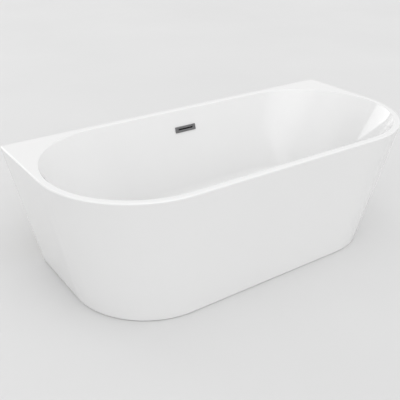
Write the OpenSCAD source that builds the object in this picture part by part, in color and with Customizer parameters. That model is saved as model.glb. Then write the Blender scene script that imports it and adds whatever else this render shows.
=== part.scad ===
// Back-to-wall freestanding bath. An acrylic basin and a tapered skirt stand on a welded steel
// frame with five levelling feet. It has a click-clack waste, a slotted overflow and a low trap.
// Millimetres. +X is the length, +Y points to the wall and +Z is up. The origin is on the floor
// under the middle of the bath.

/* [Bath] */
// Length over the rim
bath_length = 1700; // [1650:10:1750]
// Width from the wall to the front of the rim
bath_width = 800; // [780:10:820]
// Height of the rim above the floor
bath_height = 577; // [570:1:600]
// Radius of the two front corners of the rim
rim_corner_r = 400; // [360:10:400]
// Width of the flat rim round the basin's opening
rim_width = 27; // [24:1:32]
// Radius on the outer top edge of the rim
rim_edge_r = 6; // [3:0.5:6]
// Radius on the lip of the basin's opening
lip_r = 5; // [3:0.5:8]
// Thickness of the acrylic with its glass-fibre backing
shell_t = 6; // [5:0.5:7]

/* [Skirt] */
// Length of the skirt at the floor
base_length = 1462; // [1440:2:1500]
// Depth of the skirt at the floor, from the wall
base_depth = 697; // [690:1:720]
// Radius of the skirt's two front corners at the floor
base_corner_r = 339; // [320:1:345]
// Thickness of the skirt wall
skirt_t = 5; // [4:0.5:6]
// Gap between the skirt and the floor
skirt_gap = 2; // [1:0.5:4]
// Width of the two return flanges at the open back
return_w = 45; // [30:5:60]

/* [Basin] */
// Depth from the rim to the basin floor
basin_depth = 420; // [400:5:425]
// Slope of the two long walls from the vertical
side_slope = 15; // [12:0.5:16]
// Slope of the two end walls from the vertical
end_slope = 32; // [28:0.5:34]
// Fillet between the long walls and the floor
side_fillet = 100; // [80:5:120]
// Fillet between the end walls and the floor
end_fillet = 150; // [120:5:170]
// Fall of the basin floor to the waste
floor_fall = 3; // [2:0.5:4]
// Thickness under the basin floor
floor_t = 10; // [9:0.5:12]

/* [Frame] */
// Thickness of the base board
board_t = 15; // [12:1:16]
// Outer size of the square steel tubes
tube_size = 25; // [20:1:25]
// Wall thickness of the steel tubes
tube_wall = 2; // [1.5:0.5:3]
// Length of the two long rails
rail_length = 940; // [900:10:980]
// Distance of each rail from the middle line
rail_y = 150; // [140:1:155]
// Distance of the outer crossbars from the middle
crossbar_x = 400; // [380:5:410]
// Distance of the middle crossbar from the waste
mid_crossbar_x = 160; // [140:5:200]

/* [Feet] */
// Thread radius of the foot studs
stud_r = 6; // [5:0.5:6]
// Clearance round a thread in its nut
thread_gap = 0.05; // [0.02:0.01:0.09]
// Radius of a foot pad
pad_r = 24; // [20:1:28]

/* [Waste] */
// Radius of the hole in the basin floor
waste_hole_r = 26; // [25:0.5:27]
// Radius of the waste flange
flange_r = 35; // [33:0.5:36]
// Radius of the plug cap
plug_r = 33; // [31:0.5:33]
// Radius of the bore for the waste pipe
pipe_r = 20.1; // [20.05:0.05:20.2]

/* [Overflow] */
// Length of the overflow cover
cover_length = 109; // [104:1:114]
// Height of the overflow cover
cover_height = 27; // [26:0.5:30]
// Length of the slot in the cover
slot_length = 78; // [70:1:79]
// Height of the slot in the cover
slot_height = 6; // [5:0.5:7]
// Depth of the cover's middle below the rim
cover_depth = 87; // [80:1:90]
// Radius of the overflow hose
hose_r = 14; // [13.5:0.1:14]

/* [Hidden] */
FOOT_NAMES = ["front_left", "front_right", "back_left", "back_right", "middle"];
SIDE_NAMES = ["left", "right"];

// Facets of round parts, and steps along the arcs of the lofted shells
$fn = 64;
CORNER_STEPS = 28;
TIP_STEPS = 3;
END_STEPS = 56;
FILLET_STEPS = 9;
EDGE_STEPS = 4;
// Overlap that keeps a cut from ending on a face
CUT = 1;

// Plan of the bath
back_y = bath_width / 2;
half_length = bath_length / 2;
corner_x = half_length - back_y;
tip_r = 5;
rim_under = bath_height - shell_t;
opening_r = back_y - rim_width;
flange_gap = 7;

// Basin floor, seen from the rim and from the room floor
floor_top = bath_height - basin_depth;
floor_under = floor_top - floor_t;
waste_z = floor_top - floor_fall;

// Frame levels, from the base board down
board_under = floor_under - board_t;
rail_under = board_under - tube_size;
crossbar_under = rail_under - tube_size;
board_length = 960;
board_width = 350;
board_corner_r = 60;
board_hole_r = 48;
crossbar_front_y = -255;
crossbar_back_y = 290;
mid_crossbar_half = 170;
plug_t = 3;
plug_depth = 12;
rail_screw_h = tube_size + board_t - 3;

// Feet: place of each on its crossbar, and levels of its pieces
front_foot_y = -215;
back_foot_y = 262;
FEET = [
    [-crossbar_x, front_foot_y],
    [crossbar_x, front_foot_y],
    [-crossbar_x, back_foot_y],
    [crossbar_x, back_foot_y],
    [-mid_crossbar_x, 0]
];
nut_h = 10;
nut_r = 11;
nut_gap = 0.5;
stud_top = board_under - 8;
stud_hole_r = stud_r + 1.5;
pad_h = 16;
pad_chamfer = 1;
pad_edge_h = 5;
pad_neck_r = 11;
pad_neck_h = 3;
socket_floor = 5;
socket_gap = 0.5;
spanner_z = 20;
spanner_h = 8;
spanner_r = 9;

// Screws
screw_r = 2.5;
screw_head_r = 5;
screw_head_h = 3;
screw_tail = 4;
RAIL_SCREW_X = [-430, -250, 250, 430];

// Skirt fixings
block_width = 40;
block_low = 60;
block_high = 120;
block_back_y = -281;
block_screw_h = 16;
bond_gap = 1.2;
bracket_t = 3;
bracket_width = 30;
bracket_low = 72;
bracket_leg_end = -226;
bracket_screw_y = -236;
bracket_screw_z = 88;
corner_block_size = 90;
corner_block_h = 30;
corner_block_x = 833;
corner_block_y = 394;
brace_low = 75;
brace_high = 135;
brace_t = 12;
brace_half = 734;
brace_screw_x = 716;
brace_screw_h = brace_t + skirt_t - 1;
BRACE_SCREW_Z = [90, 120];

// Overflow: the cover lies on the sloped back wall
cover_y = opening_r - cover_depth * tan(side_slope);
cover_z = bath_height - cover_depth;
cover_t = 3.5;
gasket_t = 1.5;
cover_edge_r = 1.5;
slot_corner_r = slot_height / 2 - 0.5;
front_gasket_inset = 2;
back_gasket_spread = 4;
duct_length = 84;
duct_height = 18;
duct_t = 2;
duct_reach = 12;
duct_gap = 0.5;
ear_x = duct_length / 2 - duct_t - 3;
box_length = 98;
box_front = shell_t + 2;
box_back = 36;
box_low = -24;
box_high = 15;
box_t = 3;
hose_y = back_y - 32;
hose_wall = 2;
nipple_wall = 2.5;
nipple_low = cover_z - 52;
nipple_top = cover_z - 5;
nipple_bore_top = cover_z - 12;
hose_grip = 18;
clip_inset = 4;
clip_t = 2.5;
clip_w = 8;
hose_bend_r = 60;

// Waste and trap, from the basin floor down
recess_r = flange_r + 1;
recess_z = waste_z - 3;
recess_lead = 2;
flange_t = 3;
tail_r = 24;
tail_wall = 4.5;
tail_low = 118;
tail_gap = 2;
hub_r = 9;
hub_h = 6;
spoke_w = 4;
hub_z = recess_z - 8;
cartridge_r = 6;
cartridge_low = recess_z - 32;
cartridge_top = hub_z + 9;
stem_r = 2.5;
stem_low = recess_z - 26;
stem_gap = 0.05;
stem_room = 2;
stem_bite = 2;
cap_t = 4;
cap_bevel = 1;
cap_edge_t = 2.5;
cap_crown_w = 2;
cap_crown_t = 0.5;
seal_t = 2;
seal_inset = 4;
seat_gap = 0.3;
cap_under = recess_z + gasket_t + flange_t + seal_t + seat_gap;
body_flange_r = 40;
body_flange_t = 4;
body_r = 30;
body_wall = 3;
body_gasket_t = 3;
body_top = floor_under - body_gasket_t;
hose_level = rail_under - hose_r - 1;
hose_end_y = 38;
cup_r = 44;
cup_wall = 3;
cup_low = 6;
cup_top = 65;
ring_seal_t = 2.5;
ring_seal_w = 7.5;
ring_seal_inset = 0.5;
collar_t = 4;
dip_r = 20;
dip_wall = 3;
dip_low = 13;
ring_nut_r = 51;
ring_nut_low = 56.5;
ring_nut_lip = 3.5;
ring_nut_top = cup_top + ring_seal_t + collar_t + ring_nut_lip;
outlet_z = 31.5;
outlet_r = 24;
outlet_stop_y = 62;
outlet_end_y = 94;
outlet_nut_r = 29;
outlet_nut_w = 20;
outlet_nut_lip = 4;
outlet_nut_gap = 0.2;
outlet_seal_t = 3;
outlet_step = 2;
// Top of the wall left between the cup and its outlet, which holds the water seal
weir_z = 32;

// Points of an arc in the plan, at one level
function arc(cx, cy, r, from, to, steps, z) = [
    for (i = [0:steps])
        let (a = from + (to - from) * i / steps)
        [cx + r * cos(a), cy + r * sin(a), z]
];

// D-shaped outline: square tips at the wall and round corners at the front
function d_ring(half, front, r, tip, z) = concat(
    arc(half - r, front + r, r, -90, 0, CORNER_STEPS, z),
    arc(half - tip, back_y - tip, tip, 0, 90, TIP_STEPS, z),
    arc(tip - half, back_y - tip, tip, 90, 180, TIP_STEPS, z),
    arc(r - half, front + r, r, 180, 270, CORNER_STEPS, z)
);

// Stadium outline: two half circles joined by straight sides
function stadium(straight, r, z) = concat(
    arc(straight, 0, r, -90, 90, END_STEPS / 2, z),
    arc(-straight, 0, r, 90, 270, END_STEPS / 2, z)
);

// Half length, front and corner radius of the skirt's outer face at a level
function skirt_part(z) = (z - skirt_gap) / (rim_under - skirt_gap);
function skirt_half(z) = base_length / 2 + (half_length - base_length / 2) * skirt_part(z);
function skirt_front(z) = back_y - base_depth + (base_depth - bath_width) * skirt_part(z);
function skirt_corner(z) = base_corner_r + (rim_corner_r - base_corner_r) * skirt_part(z);
function skirt_ring(z, inset) =
    d_ring(skirt_half(z) - inset, skirt_front(z) + inset, skirt_corner(z) - inset, tip_r, z);

// How far a basin wall has come in at a depth: a sloped line, then the fillet down to the floor
function wall_inset(depth, slope, fillet, total) =
    let (
        tangent = total - fillet * (1 - sin(slope)),
        reach = max(0, fillet ^ 2 - (depth - total + fillet) ^ 2)
    )
    depth < tangent
        ? depth * tan(slope)
        : tangent * tan(slope) + fillet * cos(slope) - sqrt(reach);

// How far the rounded lip has come in at a depth: an arc, then the wall's sloped line
function lip_inset(depth, slope) =
    let (
        tangent = lip_r * (1 - sin(slope)),
        reach = sqrt(lip_r ^ 2 - (lip_r - depth) ^ 2)
    )
    depth < tangent
        ? tangent * tan(slope) - lip_r * cos(slope) + reach
        : depth * tan(slope);

// Basin outline from the insets of its long walls and of its ends
function basin_outline(r, side, end, z) = stadium(corner_x - (end - side), r - side, z);
function lip_ring(depth) = basin_outline(
    opening_r, lip_inset(depth, side_slope), lip_inset(depth, end_slope), bath_height - depth);
function wall_ring(depth) = basin_outline(
    opening_r,
    wall_inset(depth, side_slope, side_fillet, basin_depth),
    wall_inset(depth, end_slope, end_fillet, basin_depth),
    bath_height - depth);
function outer_ring(depth) = basin_outline(
    opening_r + shell_t / cos(side_slope),
    wall_inset(depth, side_slope, side_fillet + shell_t, basin_depth + floor_t),
    wall_inset(depth, end_slope, end_fillet + shell_t, basin_depth + floor_t),
    bath_height - depth);

// Depths at which the wall's outlines are taken, from the floor up to the wall's straight part
function fillet_depths(total, fillet) = [
    for (i = [0:FILLET_STEPS])
        let (a = 90 - i * (90 - end_slope) / FILLET_STEPS)
        total - fillet * (1 - sin(a))
];

// Depth just above both fillets, where the straight part of the walls ends
function straight_depth(total, spread) =
    total - CUT - max(
        (side_fillet + spread) * (1 - sin(side_slope)),
        (end_fillet + spread) * (1 - sin(end_slope))
    );

// Solid through a stack of outlines, lowest first
module loft(rings) {
    n = len(rings[0]);
    count = len(rings);
    points = [for (ring = rings) each ring];
    walls = [
        for (k = [0:count - 2], i = [0:n - 1])
            let (j = (i + 1) % n, low = k * n, high = low + n)
            each [[low + i, high + i, high + j], [low + i, high + j, low + j]]
    ];
    bottom = [for (i = [0:n - 1]) i];
    top = [for (i = [n - 1:-1:0]) (count - 1) * n + i];
    polyhedron(points, concat([bottom], walls, [top]));
}

// Straight prism of an outline between two levels
module prism(ring, low, high) {
    translate([0, 0, low])
        linear_extrude(high - low)
            polygon([for (p = ring) [p.x, p.y]]);
}

// Round tube along +Z
module pipe(outer, inner, low, high) {
    translate([0, 0, low])
        difference() {
            cylinder(r = outer, h = high - low);
            translate([0, 0, -CUT])
                cylinder(r = inner, h = high - low + 2 * CUT);
        }
}

// Flat plate with round corners, centred in the plan
module rounded_plate(length, width, r, t) {
    linear_extrude(t)
        union() {
            square([length - 2 * r, width], center = true);
            square([length, width - 2 * r], center = true);
            for (sx = [-1, 1], sy = [-1, 1])
                translate([sx * (length / 2 - r), sy * (width / 2 - r)])
                    circle(r);
        }
}

// Pan-head screw along +Z, with the underside of its head at the origin
module screw(length) {
    translate([0, 0, -screw_head_h])
        cylinder(r = screw_head_r, h = screw_head_h);
    cylinder(r = screw_r, h = length);
}

// Hole for a screw
module screw_hole(length) {
    translate([0, 0, -CUT])
        cylinder(r = screw_r, h = length + CUT);
}

// Hexagonal nut along +Z with a round bore
module nut(height) {
    difference() {
        cylinder(r = nut_r, h = height, $fn = 6);
        translate([0, 0, -CUT])
            cylinder(r = stud_r + thread_gap, h = height + 2 * CUT);
    }
}

// Places on the sloped back wall, with +Y out of the basin
module on_back_wall() {
    translate([0, cover_y, cover_z])
        rotate([-side_slope, 0, 0])
            children();
}

// Slot through the wall for the overflow duct, centred on the wall's inner face
module wall_opening(depth) {
    cube([duct_length + 2 * duct_gap, depth, duct_height + 2 * duct_gap], center = true);
}

// Places what stands along +Z so that it points forward or back
module facing_front(x, y, z) {
    translate([x, y, z])
        rotate([90, 0, 0])
            children();
}

module facing_back(x, y, z) {
    translate([x, y, z])
        rotate([-90, 0, 0])
            children();
}

module tub_shell() {
    rim_levels = [for (i = [0:EDGE_STEPS]) i * 90 / EDGE_STEPS];
    floor_depths = fillet_depths(basin_depth, end_fillet);
    under_depths = fillet_depths(basin_depth + floor_t, end_fillet + shell_t);
    lip_depths = [for (i = [0:EDGE_STEPS]) lip_r * (1 - sin(side_slope)) * (1 - i / EDGE_STEPS)];
    color("white")
        difference() {
            union() {
                // Flat rim with its rounded outer edge
                loft([
                    for (a = rim_levels)
                        let (inset = rim_edge_r * (1 - cos(a)))
                        d_ring(half_length - inset, inset - back_y, rim_corner_r - inset, tip_r,
                            rim_under + shell_t * sin(a))
                ]);
                // Outside of the basin
                loft(concat(
                    [for (d = under_depths) outer_ring(d)],
                    [outer_ring(straight_depth(basin_depth + floor_t, shell_t)), outer_ring(shell_t - CUT)]
                ));
            }
            // Inside of the basin: floor, fillet, wall and rounded lip
            loft(concat(
                [stadium(0, recess_r + recess_lead, waste_z)],
                [for (d = floor_depths) wall_ring(d)],
                [wall_ring(straight_depth(basin_depth, 0))],
                [for (d = lip_depths) lip_ring(d)],
                [lip_ring(0) + [for (p = lip_ring(0)) [0, 0, CUT]]]
            ));
            translate([0, 0, recess_z])
                cylinder(r = recess_r, h = floor_t);
            translate([0, 0, floor_under - CUT])
                cylinder(r = waste_hole_r, h = floor_t + CUT);
            on_back_wall()
                wall_opening(4 * shell_t);
        }
}

module outer_skirt() {
    edge_r = skirt_t - 1;
    inner_low = skirt_gap + skirt_t;
    inner_high = rim_under - skirt_t;
    back_top = rim_under - return_w;
    color("whitesmoke")
        difference() {
            loft(concat(
                [for (i = [0:EDGE_STEPS])
                    let (a = i * 90 / EDGE_STEPS, z = skirt_gap + edge_r * (1 - cos(a)))
                    skirt_ring(z, edge_r * (1 - sin(a)))],
                [skirt_ring(rim_under, 0)]
            ));
            // Hollow inside, with the back wall's thickness left at the returns
            intersection() {
                loft([skirt_ring(inner_low, skirt_t), skirt_ring(inner_high, skirt_t)]);
                translate([-half_length, -back_y, 0])
                    cube([bath_length, bath_width - skirt_t, bath_height]);
            }
            // Opening for the basin in the top flange
            prism(stadium(corner_x, opening_r + flange_gap, 0), inner_high - CUT, bath_height);
            // Open underside, with a narrow lip along the floor
            prism(skirt_ring(inner_low, skirt_t + return_w / 2), -CUT, inner_low + CUT);
            // Open back between the two returns
            translate([0, back_y + CUT, 0])
                rotate([90, 0, 0])
                    linear_extrude(skirt_t + 2 * CUT)
                        polygon([
                            [return_w - skirt_half(0), -CUT],
                            [skirt_half(0) - return_w, -CUT],
                            [skirt_half(back_top) - return_w, back_top],
                            [return_w - skirt_half(back_top), back_top]
                        ]);
            // The returns' screw holes for the rear brace
            for (x = [-brace_screw_x, brace_screw_x], z = BRACE_SCREW_Z)
                facing_front(x, back_y + CUT, z)
                    screw_hole(skirt_t + 2 * CUT);
        }
}

module base_board() {
    color("burlywood")
        difference() {
            translate([0, 0, board_under])
                rounded_plate(board_length, board_width, board_corner_r, board_t);
            translate([0, 0, board_under - CUT])
                cylinder(r = board_hole_r, h = board_t + 2 * CUT);
            at_rail_screws()
                screw_hole(rail_screw_h);
        }
}

// Square steel tube along +X between two places, in the tube's own line
module square_tube(from, to) {
    inner = tube_size - 2 * tube_wall;
    difference() {
        translate([from, -tube_size / 2, 0])
            cube([to - from, tube_size, tube_size]);
        translate([from - CUT, -inner / 2, tube_wall])
            cube([to - from + 2 * CUT, inner, inner]);
    }
}

module at_rail_screws() {
    for (x = RAIL_SCREW_X, y = [-rail_y, rail_y])
        translate([x, y, rail_under])
            children();
}

module frame_rail(y) {
    color("silver")
        difference() {
            translate([0, y, rail_under])
                square_tube(-rail_length / 2, rail_length / 2);
            at_rail_screws()
                screw_hole(tube_size + CUT);
        }
}

module crossbar(x, from, to) {
    color("darkgray")
        difference() {
            translate([x, 0, crossbar_under])
                rotate([0, 0, 90])
                    square_tube(from, to);
            for (foot = FEET)
                translate([foot.x, foot.y, crossbar_under - CUT])
                    cylinder(r = stud_hole_r, h = tube_size + 2 * CUT);
            for (sx = [-1, 1])
                translate([sx * crossbar_x, bracket_screw_y, rail_under - tube_wall])
                    screw_hole(tube_wall + CUT);
        }
}

module outer_crossbar(x) {
    crossbar(x, crossbar_front_y, crossbar_back_y);
}

module middle_crossbar() {
    crossbar(-mid_crossbar_x, -mid_crossbar_half, mid_crossbar_half);
}

// Push-in plug that closes a tube's end, with +X out of the tube
module end_plug() {
    inner = tube_size - 2 * tube_wall;
    translate([0, -tube_size / 2, 0])
        cube([plug_t, tube_size, tube_size]);
    translate([-plug_depth, -inner / 2, tube_wall])
        cube([plug_depth + CUT, inner, inner]);
}

module tube_end_plugs() {
    color("dimgray") {
        for (y = [-rail_y, rail_y], turn = [0, 180])
            translate([rail_length / 2 * cos(turn), y, rail_under])
                rotate([0, 0, turn])
                    end_plug();
        for (x = [-crossbar_x, crossbar_x]) {
            translate([x, crossbar_back_y, crossbar_under])
                rotate([0, 0, 90])
                    end_plug();
            translate([x, crossbar_front_y, crossbar_under])
                rotate([0, 0, -90])
                    end_plug();
        }
    }
}

module rail_screws() {
    color("gainsboro")
        at_rail_screws()
            screw(rail_screw_h);
}

module foot_weld_nuts() {
    color("silver")
        for (foot = FEET)
            translate([foot.x, foot.y, crossbar_under - nut_h])
                nut(nut_h);
}

module foot_lock_nuts() {
    color("gainsboro")
        for (foot = FEET)
            translate([foot.x, foot.y, crossbar_under - 2 * nut_h])
                nut(nut_h - nut_gap);
}

module foot_stud(foot) {
    color("lightsteelblue")
        translate([foot.x, foot.y, 0]) {
            translate([0, 0, socket_floor + socket_gap])
                cylinder(r = stud_r, h = stud_top - socket_floor - socket_gap);
            translate([0, 0, spanner_z])
                cylinder(r = spanner_r, h = spanner_h, $fn = 6);
        }
}

module foot_pad(foot) {
    color("black")
        translate([foot.x, foot.y, 0])
            difference() {
                rotate_extrude()
                    polygon([
                        [0, 0],
                        [pad_r - pad_chamfer, 0],
                        [pad_r, pad_chamfer],
                        [pad_r, pad_edge_h],
                        [pad_neck_r, pad_h - pad_neck_h],
                        [pad_neck_r, pad_h],
                        [0, pad_h]
                    ]);
                translate([0, 0, socket_floor])
                    cylinder(r = stud_r + thread_gap, h = pad_h);
            }
}

module skirt_block(x) {
    color("peru")
        difference() {
            translate([x - block_width / 2, 0, 0])
                rotate([90, 0, 90])
                    linear_extrude(block_width)
                        polygon([
                            [skirt_front(block_low) + skirt_t + bond_gap, block_low],
                            [block_back_y, block_low],
                            [block_back_y, block_high],
                            [skirt_front(block_high) + skirt_t + bond_gap, block_high]
                        ]);
            facing_front(x, block_back_y, bracket_screw_z)
                screw_hole(block_screw_h);
        }
}

module skirt_bracket(x) {
    color("silver")
        difference() {
            union() {
                translate([x - bracket_width / 2, block_back_y, bracket_low])
                    cube([bracket_width, bracket_t, rail_under - bracket_low]);
                translate([x - bracket_width / 2, block_back_y, rail_under])
                    cube([bracket_width, bracket_leg_end - block_back_y, bracket_t]);
            }
            facing_front(x, block_back_y + bracket_t, bracket_screw_z)
                screw_hole(bracket_t + CUT);
            translate([x, bracket_screw_y, rail_under - CUT])
                cylinder(r = screw_r, h = bracket_t + 2 * CUT);
        }
}

module bracket_screws() {
    color("gainsboro")
        for (x = [-crossbar_x, crossbar_x]) {
            facing_front(x, block_back_y + bracket_t, bracket_screw_z)
                screw(bracket_t + block_screw_h);
            translate([x, bracket_screw_y, rail_under + bracket_t])
                rotate([180, 0, 0])
                    screw(bracket_t + tube_wall + screw_tail);
        }
}

module corner_block(side) {
    color("peru")
        translate([0, 0, rim_under - skirt_t - corner_block_h])
            linear_extrude(corner_block_h)
                polygon([
                    [side * corner_block_x, corner_block_y],
                    [side * corner_block_x, corner_block_y - corner_block_size],
                    [side * (corner_block_x - corner_block_size), corner_block_y]
                ]);
}

module rear_brace() {
    color("tan")
        difference() {
            translate([-brace_half, back_y - skirt_t - brace_t, brace_low])
                cube([2 * brace_half, brace_t, brace_high - brace_low]);
            for (x = [-brace_screw_x, brace_screw_x], z = BRACE_SCREW_Z)
                facing_back(x, back_y - skirt_t - brace_t, z)
                    screw_hole(brace_t + CUT);
        }
}

module brace_screws() {
    color("gainsboro")
        for (x = [-brace_screw_x, brace_screw_x], z = BRACE_SCREW_Z)
            facing_back(x, back_y - skirt_t - brace_t, z)
                screw(brace_screw_h);
}

// Upright plate on the back wall, between two distances from its inner face
module wall_plate(length, height, r, from, to) {
    translate([0, to, 0])
        rotate([90, 0, 0])
            rounded_plate(length, height, r, to - from);
}

module overflow_cover() {
    color([0.38, 0.39, 0.4])
        on_back_wall()
            difference() {
                union() {
                    wall_plate(cover_length, cover_height, cover_edge_r, -gasket_t - cover_t, -gasket_t);
                    wall_plate(duct_length, duct_height, cover_edge_r, -gasket_t - CUT, duct_reach);
                }
                wall_plate(slot_length, slot_height, slot_corner_r, -gasket_t - cover_t - CUT, CUT);
                translate([0, duct_reach, 0])
                    cube([duct_length - 2 * duct_t, 2 * duct_reach, duct_height - 2 * duct_t],
                        center = true);
            }
}

module overflow_front_gasket() {
    color("black")
        on_back_wall()
            difference() {
                wall_plate(
                    cover_length - 2 * front_gasket_inset,
                    cover_height - 2 * front_gasket_inset,
                    cover_edge_r, -gasket_t, 0);
                wall_opening(4 * gasket_t);
            }
}

module overflow_back_gasket() {
    color("black")
        on_back_wall()
            difference() {
                wall_plate(
                    box_length + 2 * back_gasket_spread, box_high - box_low,
                    cover_edge_r, shell_t, box_front);
                wall_opening(4 * box_front);
            }
}

module overflow_body() {
    box_height = box_high - box_low;
    color("dimgray")
        difference() {
            union() {
                on_back_wall()
                    translate([0, (box_front + box_back) / 2, (box_low + box_high) / 2])
                        cube([box_length, box_back - box_front, box_height], center = true);
                translate([0, hose_y, nipple_low])
                    cylinder(r = hose_r - hose_wall, h = nipple_top - nipple_low);
            }
            on_back_wall() {
                translate([0, (box_front + box_back) / 2, (box_low + box_high) / 2])
                    cube([box_length - 2 * box_t, box_back - box_front - 2 * box_t, box_height - 2 * box_t],
                        center = true);
                translate([0, box_front, 0])
                    wall_opening(4 * box_t);
                for (sx = [-1, 1])
                    translate([sx * ear_x, box_back, 0])
                        rotate([90, 0, 0])
                            screw_hole(box_t + CUT);
            }
            translate([0, hose_y, nipple_low - CUT])
                cylinder(r = hose_r - hose_wall - nipple_wall, h = nipple_bore_top - nipple_low);
        }
}

// The two screws pass through the body and pull the cover's duct back against the wall
module overflow_screws() {
    color("gainsboro")
        on_back_wall()
            for (sx = [-1, 1])
                translate([sx * ear_x, box_back, 0])
                    rotate([90, 0, 0])
                        screw(box_back - duct_reach - CUT);
}

module overflow_hose() {
    bend_z = hose_level + hose_bend_r;
    bend_y = hose_y - hose_bend_r;
    color("lightgray")
        difference() {
            hose_run(hose_r, bend_y, bend_z, 0);
            hose_run(hose_r - hose_wall + thread_gap, bend_y, bend_z, CUT);
        }
}

// Solid along the hose's route: down behind the basin, round a bend and forward to the waste
module hose_run(r, bend_y, bend_z, extra) {
    translate([0, hose_y, bend_z])
        cylinder(r = r, h = nipple_low + hose_grip - bend_z + extra);
    translate([0, bend_y, bend_z])
        rotate([90, 0, 90])
            rotate_extrude(angle = -90)
                translate([hose_bend_r, 0])
                    circle(r);
    facing_front(0, bend_y, hose_level)
        cylinder(r = r, h = bend_y - hose_end_y + extra);
}

module hose_clips() {
    color("silver") {
        translate([0, hose_y, 0])
            pipe(hose_r + clip_t, hose_r, nipple_low + clip_inset, nipple_low + clip_inset + clip_w);
        facing_front(0, hose_end_y + clip_inset + clip_w, hose_level)
            pipe(hose_r + clip_t, hose_r, 0, clip_w);
    }
}

module waste_flange() {
    color("slategray")
        difference() {
            union() {
                pipe(flange_r, tail_r - tail_wall, recess_z + gasket_t, recess_z + gasket_t + flange_t);
                pipe(tail_r, tail_r - tail_wall, tail_low, recess_z + gasket_t + CUT);
                translate([0, 0, hub_z]) {
                    cylinder(r = hub_r, h = hub_h);
                    for (turn = [0, 120, 240])
                        rotate([0, 0, turn])
                            translate([0, -spoke_w / 2, 0])
                                cube([tail_r - tail_wall / 2, spoke_w, hub_h]);
                }
            }
            translate([0, 0, hub_z - CUT])
                cylinder(r = cartridge_r, h = hub_h + 2 * CUT);
        }
}

module waste_top_gasket() {
    color("black")
        pipe(flange_r - 1, tail_r + 1, recess_z, recess_z + gasket_t);
}

module waste_bottom_gasket() {
    color("black")
        pipe(body_flange_r, waste_hole_r, body_top, floor_under);
}

// Hollow body under the basin floor, with a branch for the overflow hose and a dip tube
module waste_body() {
    collar_z = cup_top + ring_seal_t;
    color("gainsboro")
        difference() {
            union() {
                translate([0, 0, body_top - body_flange_t])
                    cylinder(r = body_flange_r, h = body_flange_t);
                translate([0, 0, collar_z])
                    cylinder(r = body_r, h = body_top - collar_z);
                translate([0, 0, collar_z])
                    cylinder(r = cup_r - ring_seal_inset, h = collar_t);
                translate([0, 0, dip_low])
                    cylinder(r = dip_r, h = collar_z - dip_low + CUT);
                facing_back(0, body_r / 2, hose_level)
                    cylinder(r = hose_r - hose_wall, h = hose_end_y + hose_grip - body_r / 2);
            }
            translate([0, 0, tail_low - tail_gap])
                cylinder(r = tail_r + thread_gap, h = body_top);
            translate([0, 0, collar_z + collar_t])
                cylinder(r = body_r - body_wall, h = tail_low - tail_gap - collar_z - collar_t);
            translate([0, 0, dip_low - CUT])
                cylinder(r = dip_r - dip_wall, h = collar_z + collar_t + 2 * CUT - dip_low);
            facing_back(0, 0, hose_level)
                cylinder(r = hose_r - hose_wall - nipple_wall, h = hose_end_y + hose_grip + CUT);
        }
}

module click_cartridge() {
    color("goldenrod")
        difference() {
            translate([0, 0, cartridge_low])
                cylinder(r = cartridge_r, h = cartridge_top - cartridge_low);
            translate([0, 0, stem_low - stem_room])
                cylinder(r = stem_r + stem_gap, h = floor_top - stem_low);
        }
}

module plug_cap() {
    color("slategray")
        difference() {
            rotate_extrude()
                polygon([
                    [0, cap_under],
                    [plug_r - cap_bevel, cap_under],
                    [plug_r, cap_under + cap_bevel],
                    [plug_r, cap_under + cap_edge_t],
                    [plug_r - cap_crown_w, cap_under + cap_t - cap_crown_t],
                    [0, cap_under + cap_t]
                ]);
            translate([0, 0, cap_under - CUT])
                cylinder(r = stem_r, h = CUT + stem_bite);
        }
}

module plug_seal() {
    color("black")
        pipe(plug_r - seal_inset, hub_r, cap_under - seal_t, cap_under);
}

module plug_stem() {
    color("goldenrod")
        translate([0, 0, stem_low])
            cylinder(r = stem_r, h = cap_under + stem_bite - stem_low);
}

// Cup with its outlet branch, which ends in a socket for the waste pipe
module trap_cup() {
    color("gainsboro")
        difference() {
            union() {
                translate([0, 0, cup_low])
                    cylinder(r = cup_r, h = cup_top - cup_low);
                facing_back(0, 0, outlet_z)
                    cylinder(r = outlet_r, h = outlet_end_y - outlet_seal_t);
            }
            translate([0, 0, cup_low + cup_wall])
                cylinder(r = cup_r - cup_wall, h = cup_top);
            difference() {
                facing_back(0, 0, outlet_z)
                    cylinder(r = pipe_r - outlet_step, h = outlet_end_y);
                translate([-outlet_r, cup_r - 2 * cup_wall, 0])
                    cube([2 * outlet_r, 2 * cup_wall, weir_z]);
            }
            facing_back(0, outlet_stop_y, outlet_z)
                cylinder(r = pipe_r, h = outlet_end_y);
        }
}

module trap_ring_nut() {
    color("white")
        difference() {
            translate([0, 0, ring_nut_low])
                cylinder(r = ring_nut_r, h = ring_nut_top - ring_nut_low);
            translate([0, 0, ring_nut_low - CUT])
                cylinder(r = cup_r + thread_gap, h = ring_nut_top - ring_nut_lip - ring_nut_low + CUT);
            translate([0, 0, ring_nut_low])
                cylinder(r = body_r + thread_gap, h = ring_nut_top);
        }
}

module trap_ring_seal() {
    color("black")
        pipe(
            cup_r - ring_seal_inset, cup_r - ring_seal_inset - ring_seal_w,
            cup_top, cup_top + ring_seal_t);
}

module trap_outlet_nut() {
    color("white")
        facing_back(0, outlet_end_y - outlet_nut_w + outlet_nut_lip, outlet_z)
            difference() {
                cylinder(r = outlet_nut_r, h = outlet_nut_w);
                translate([0, 0, -CUT])
                    cylinder(r = outlet_r + thread_gap, h = outlet_nut_w - outlet_nut_lip + CUT);
                cylinder(r = pipe_r + outlet_nut_gap, h = outlet_nut_w + CUT);
            }
}

module trap_outlet_seal() {
    color("black")
        facing_back(0, outlet_end_y - outlet_seal_t, outlet_z)
            pipe(outlet_r, pipe_r, 0, outlet_seal_t);
}

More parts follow.
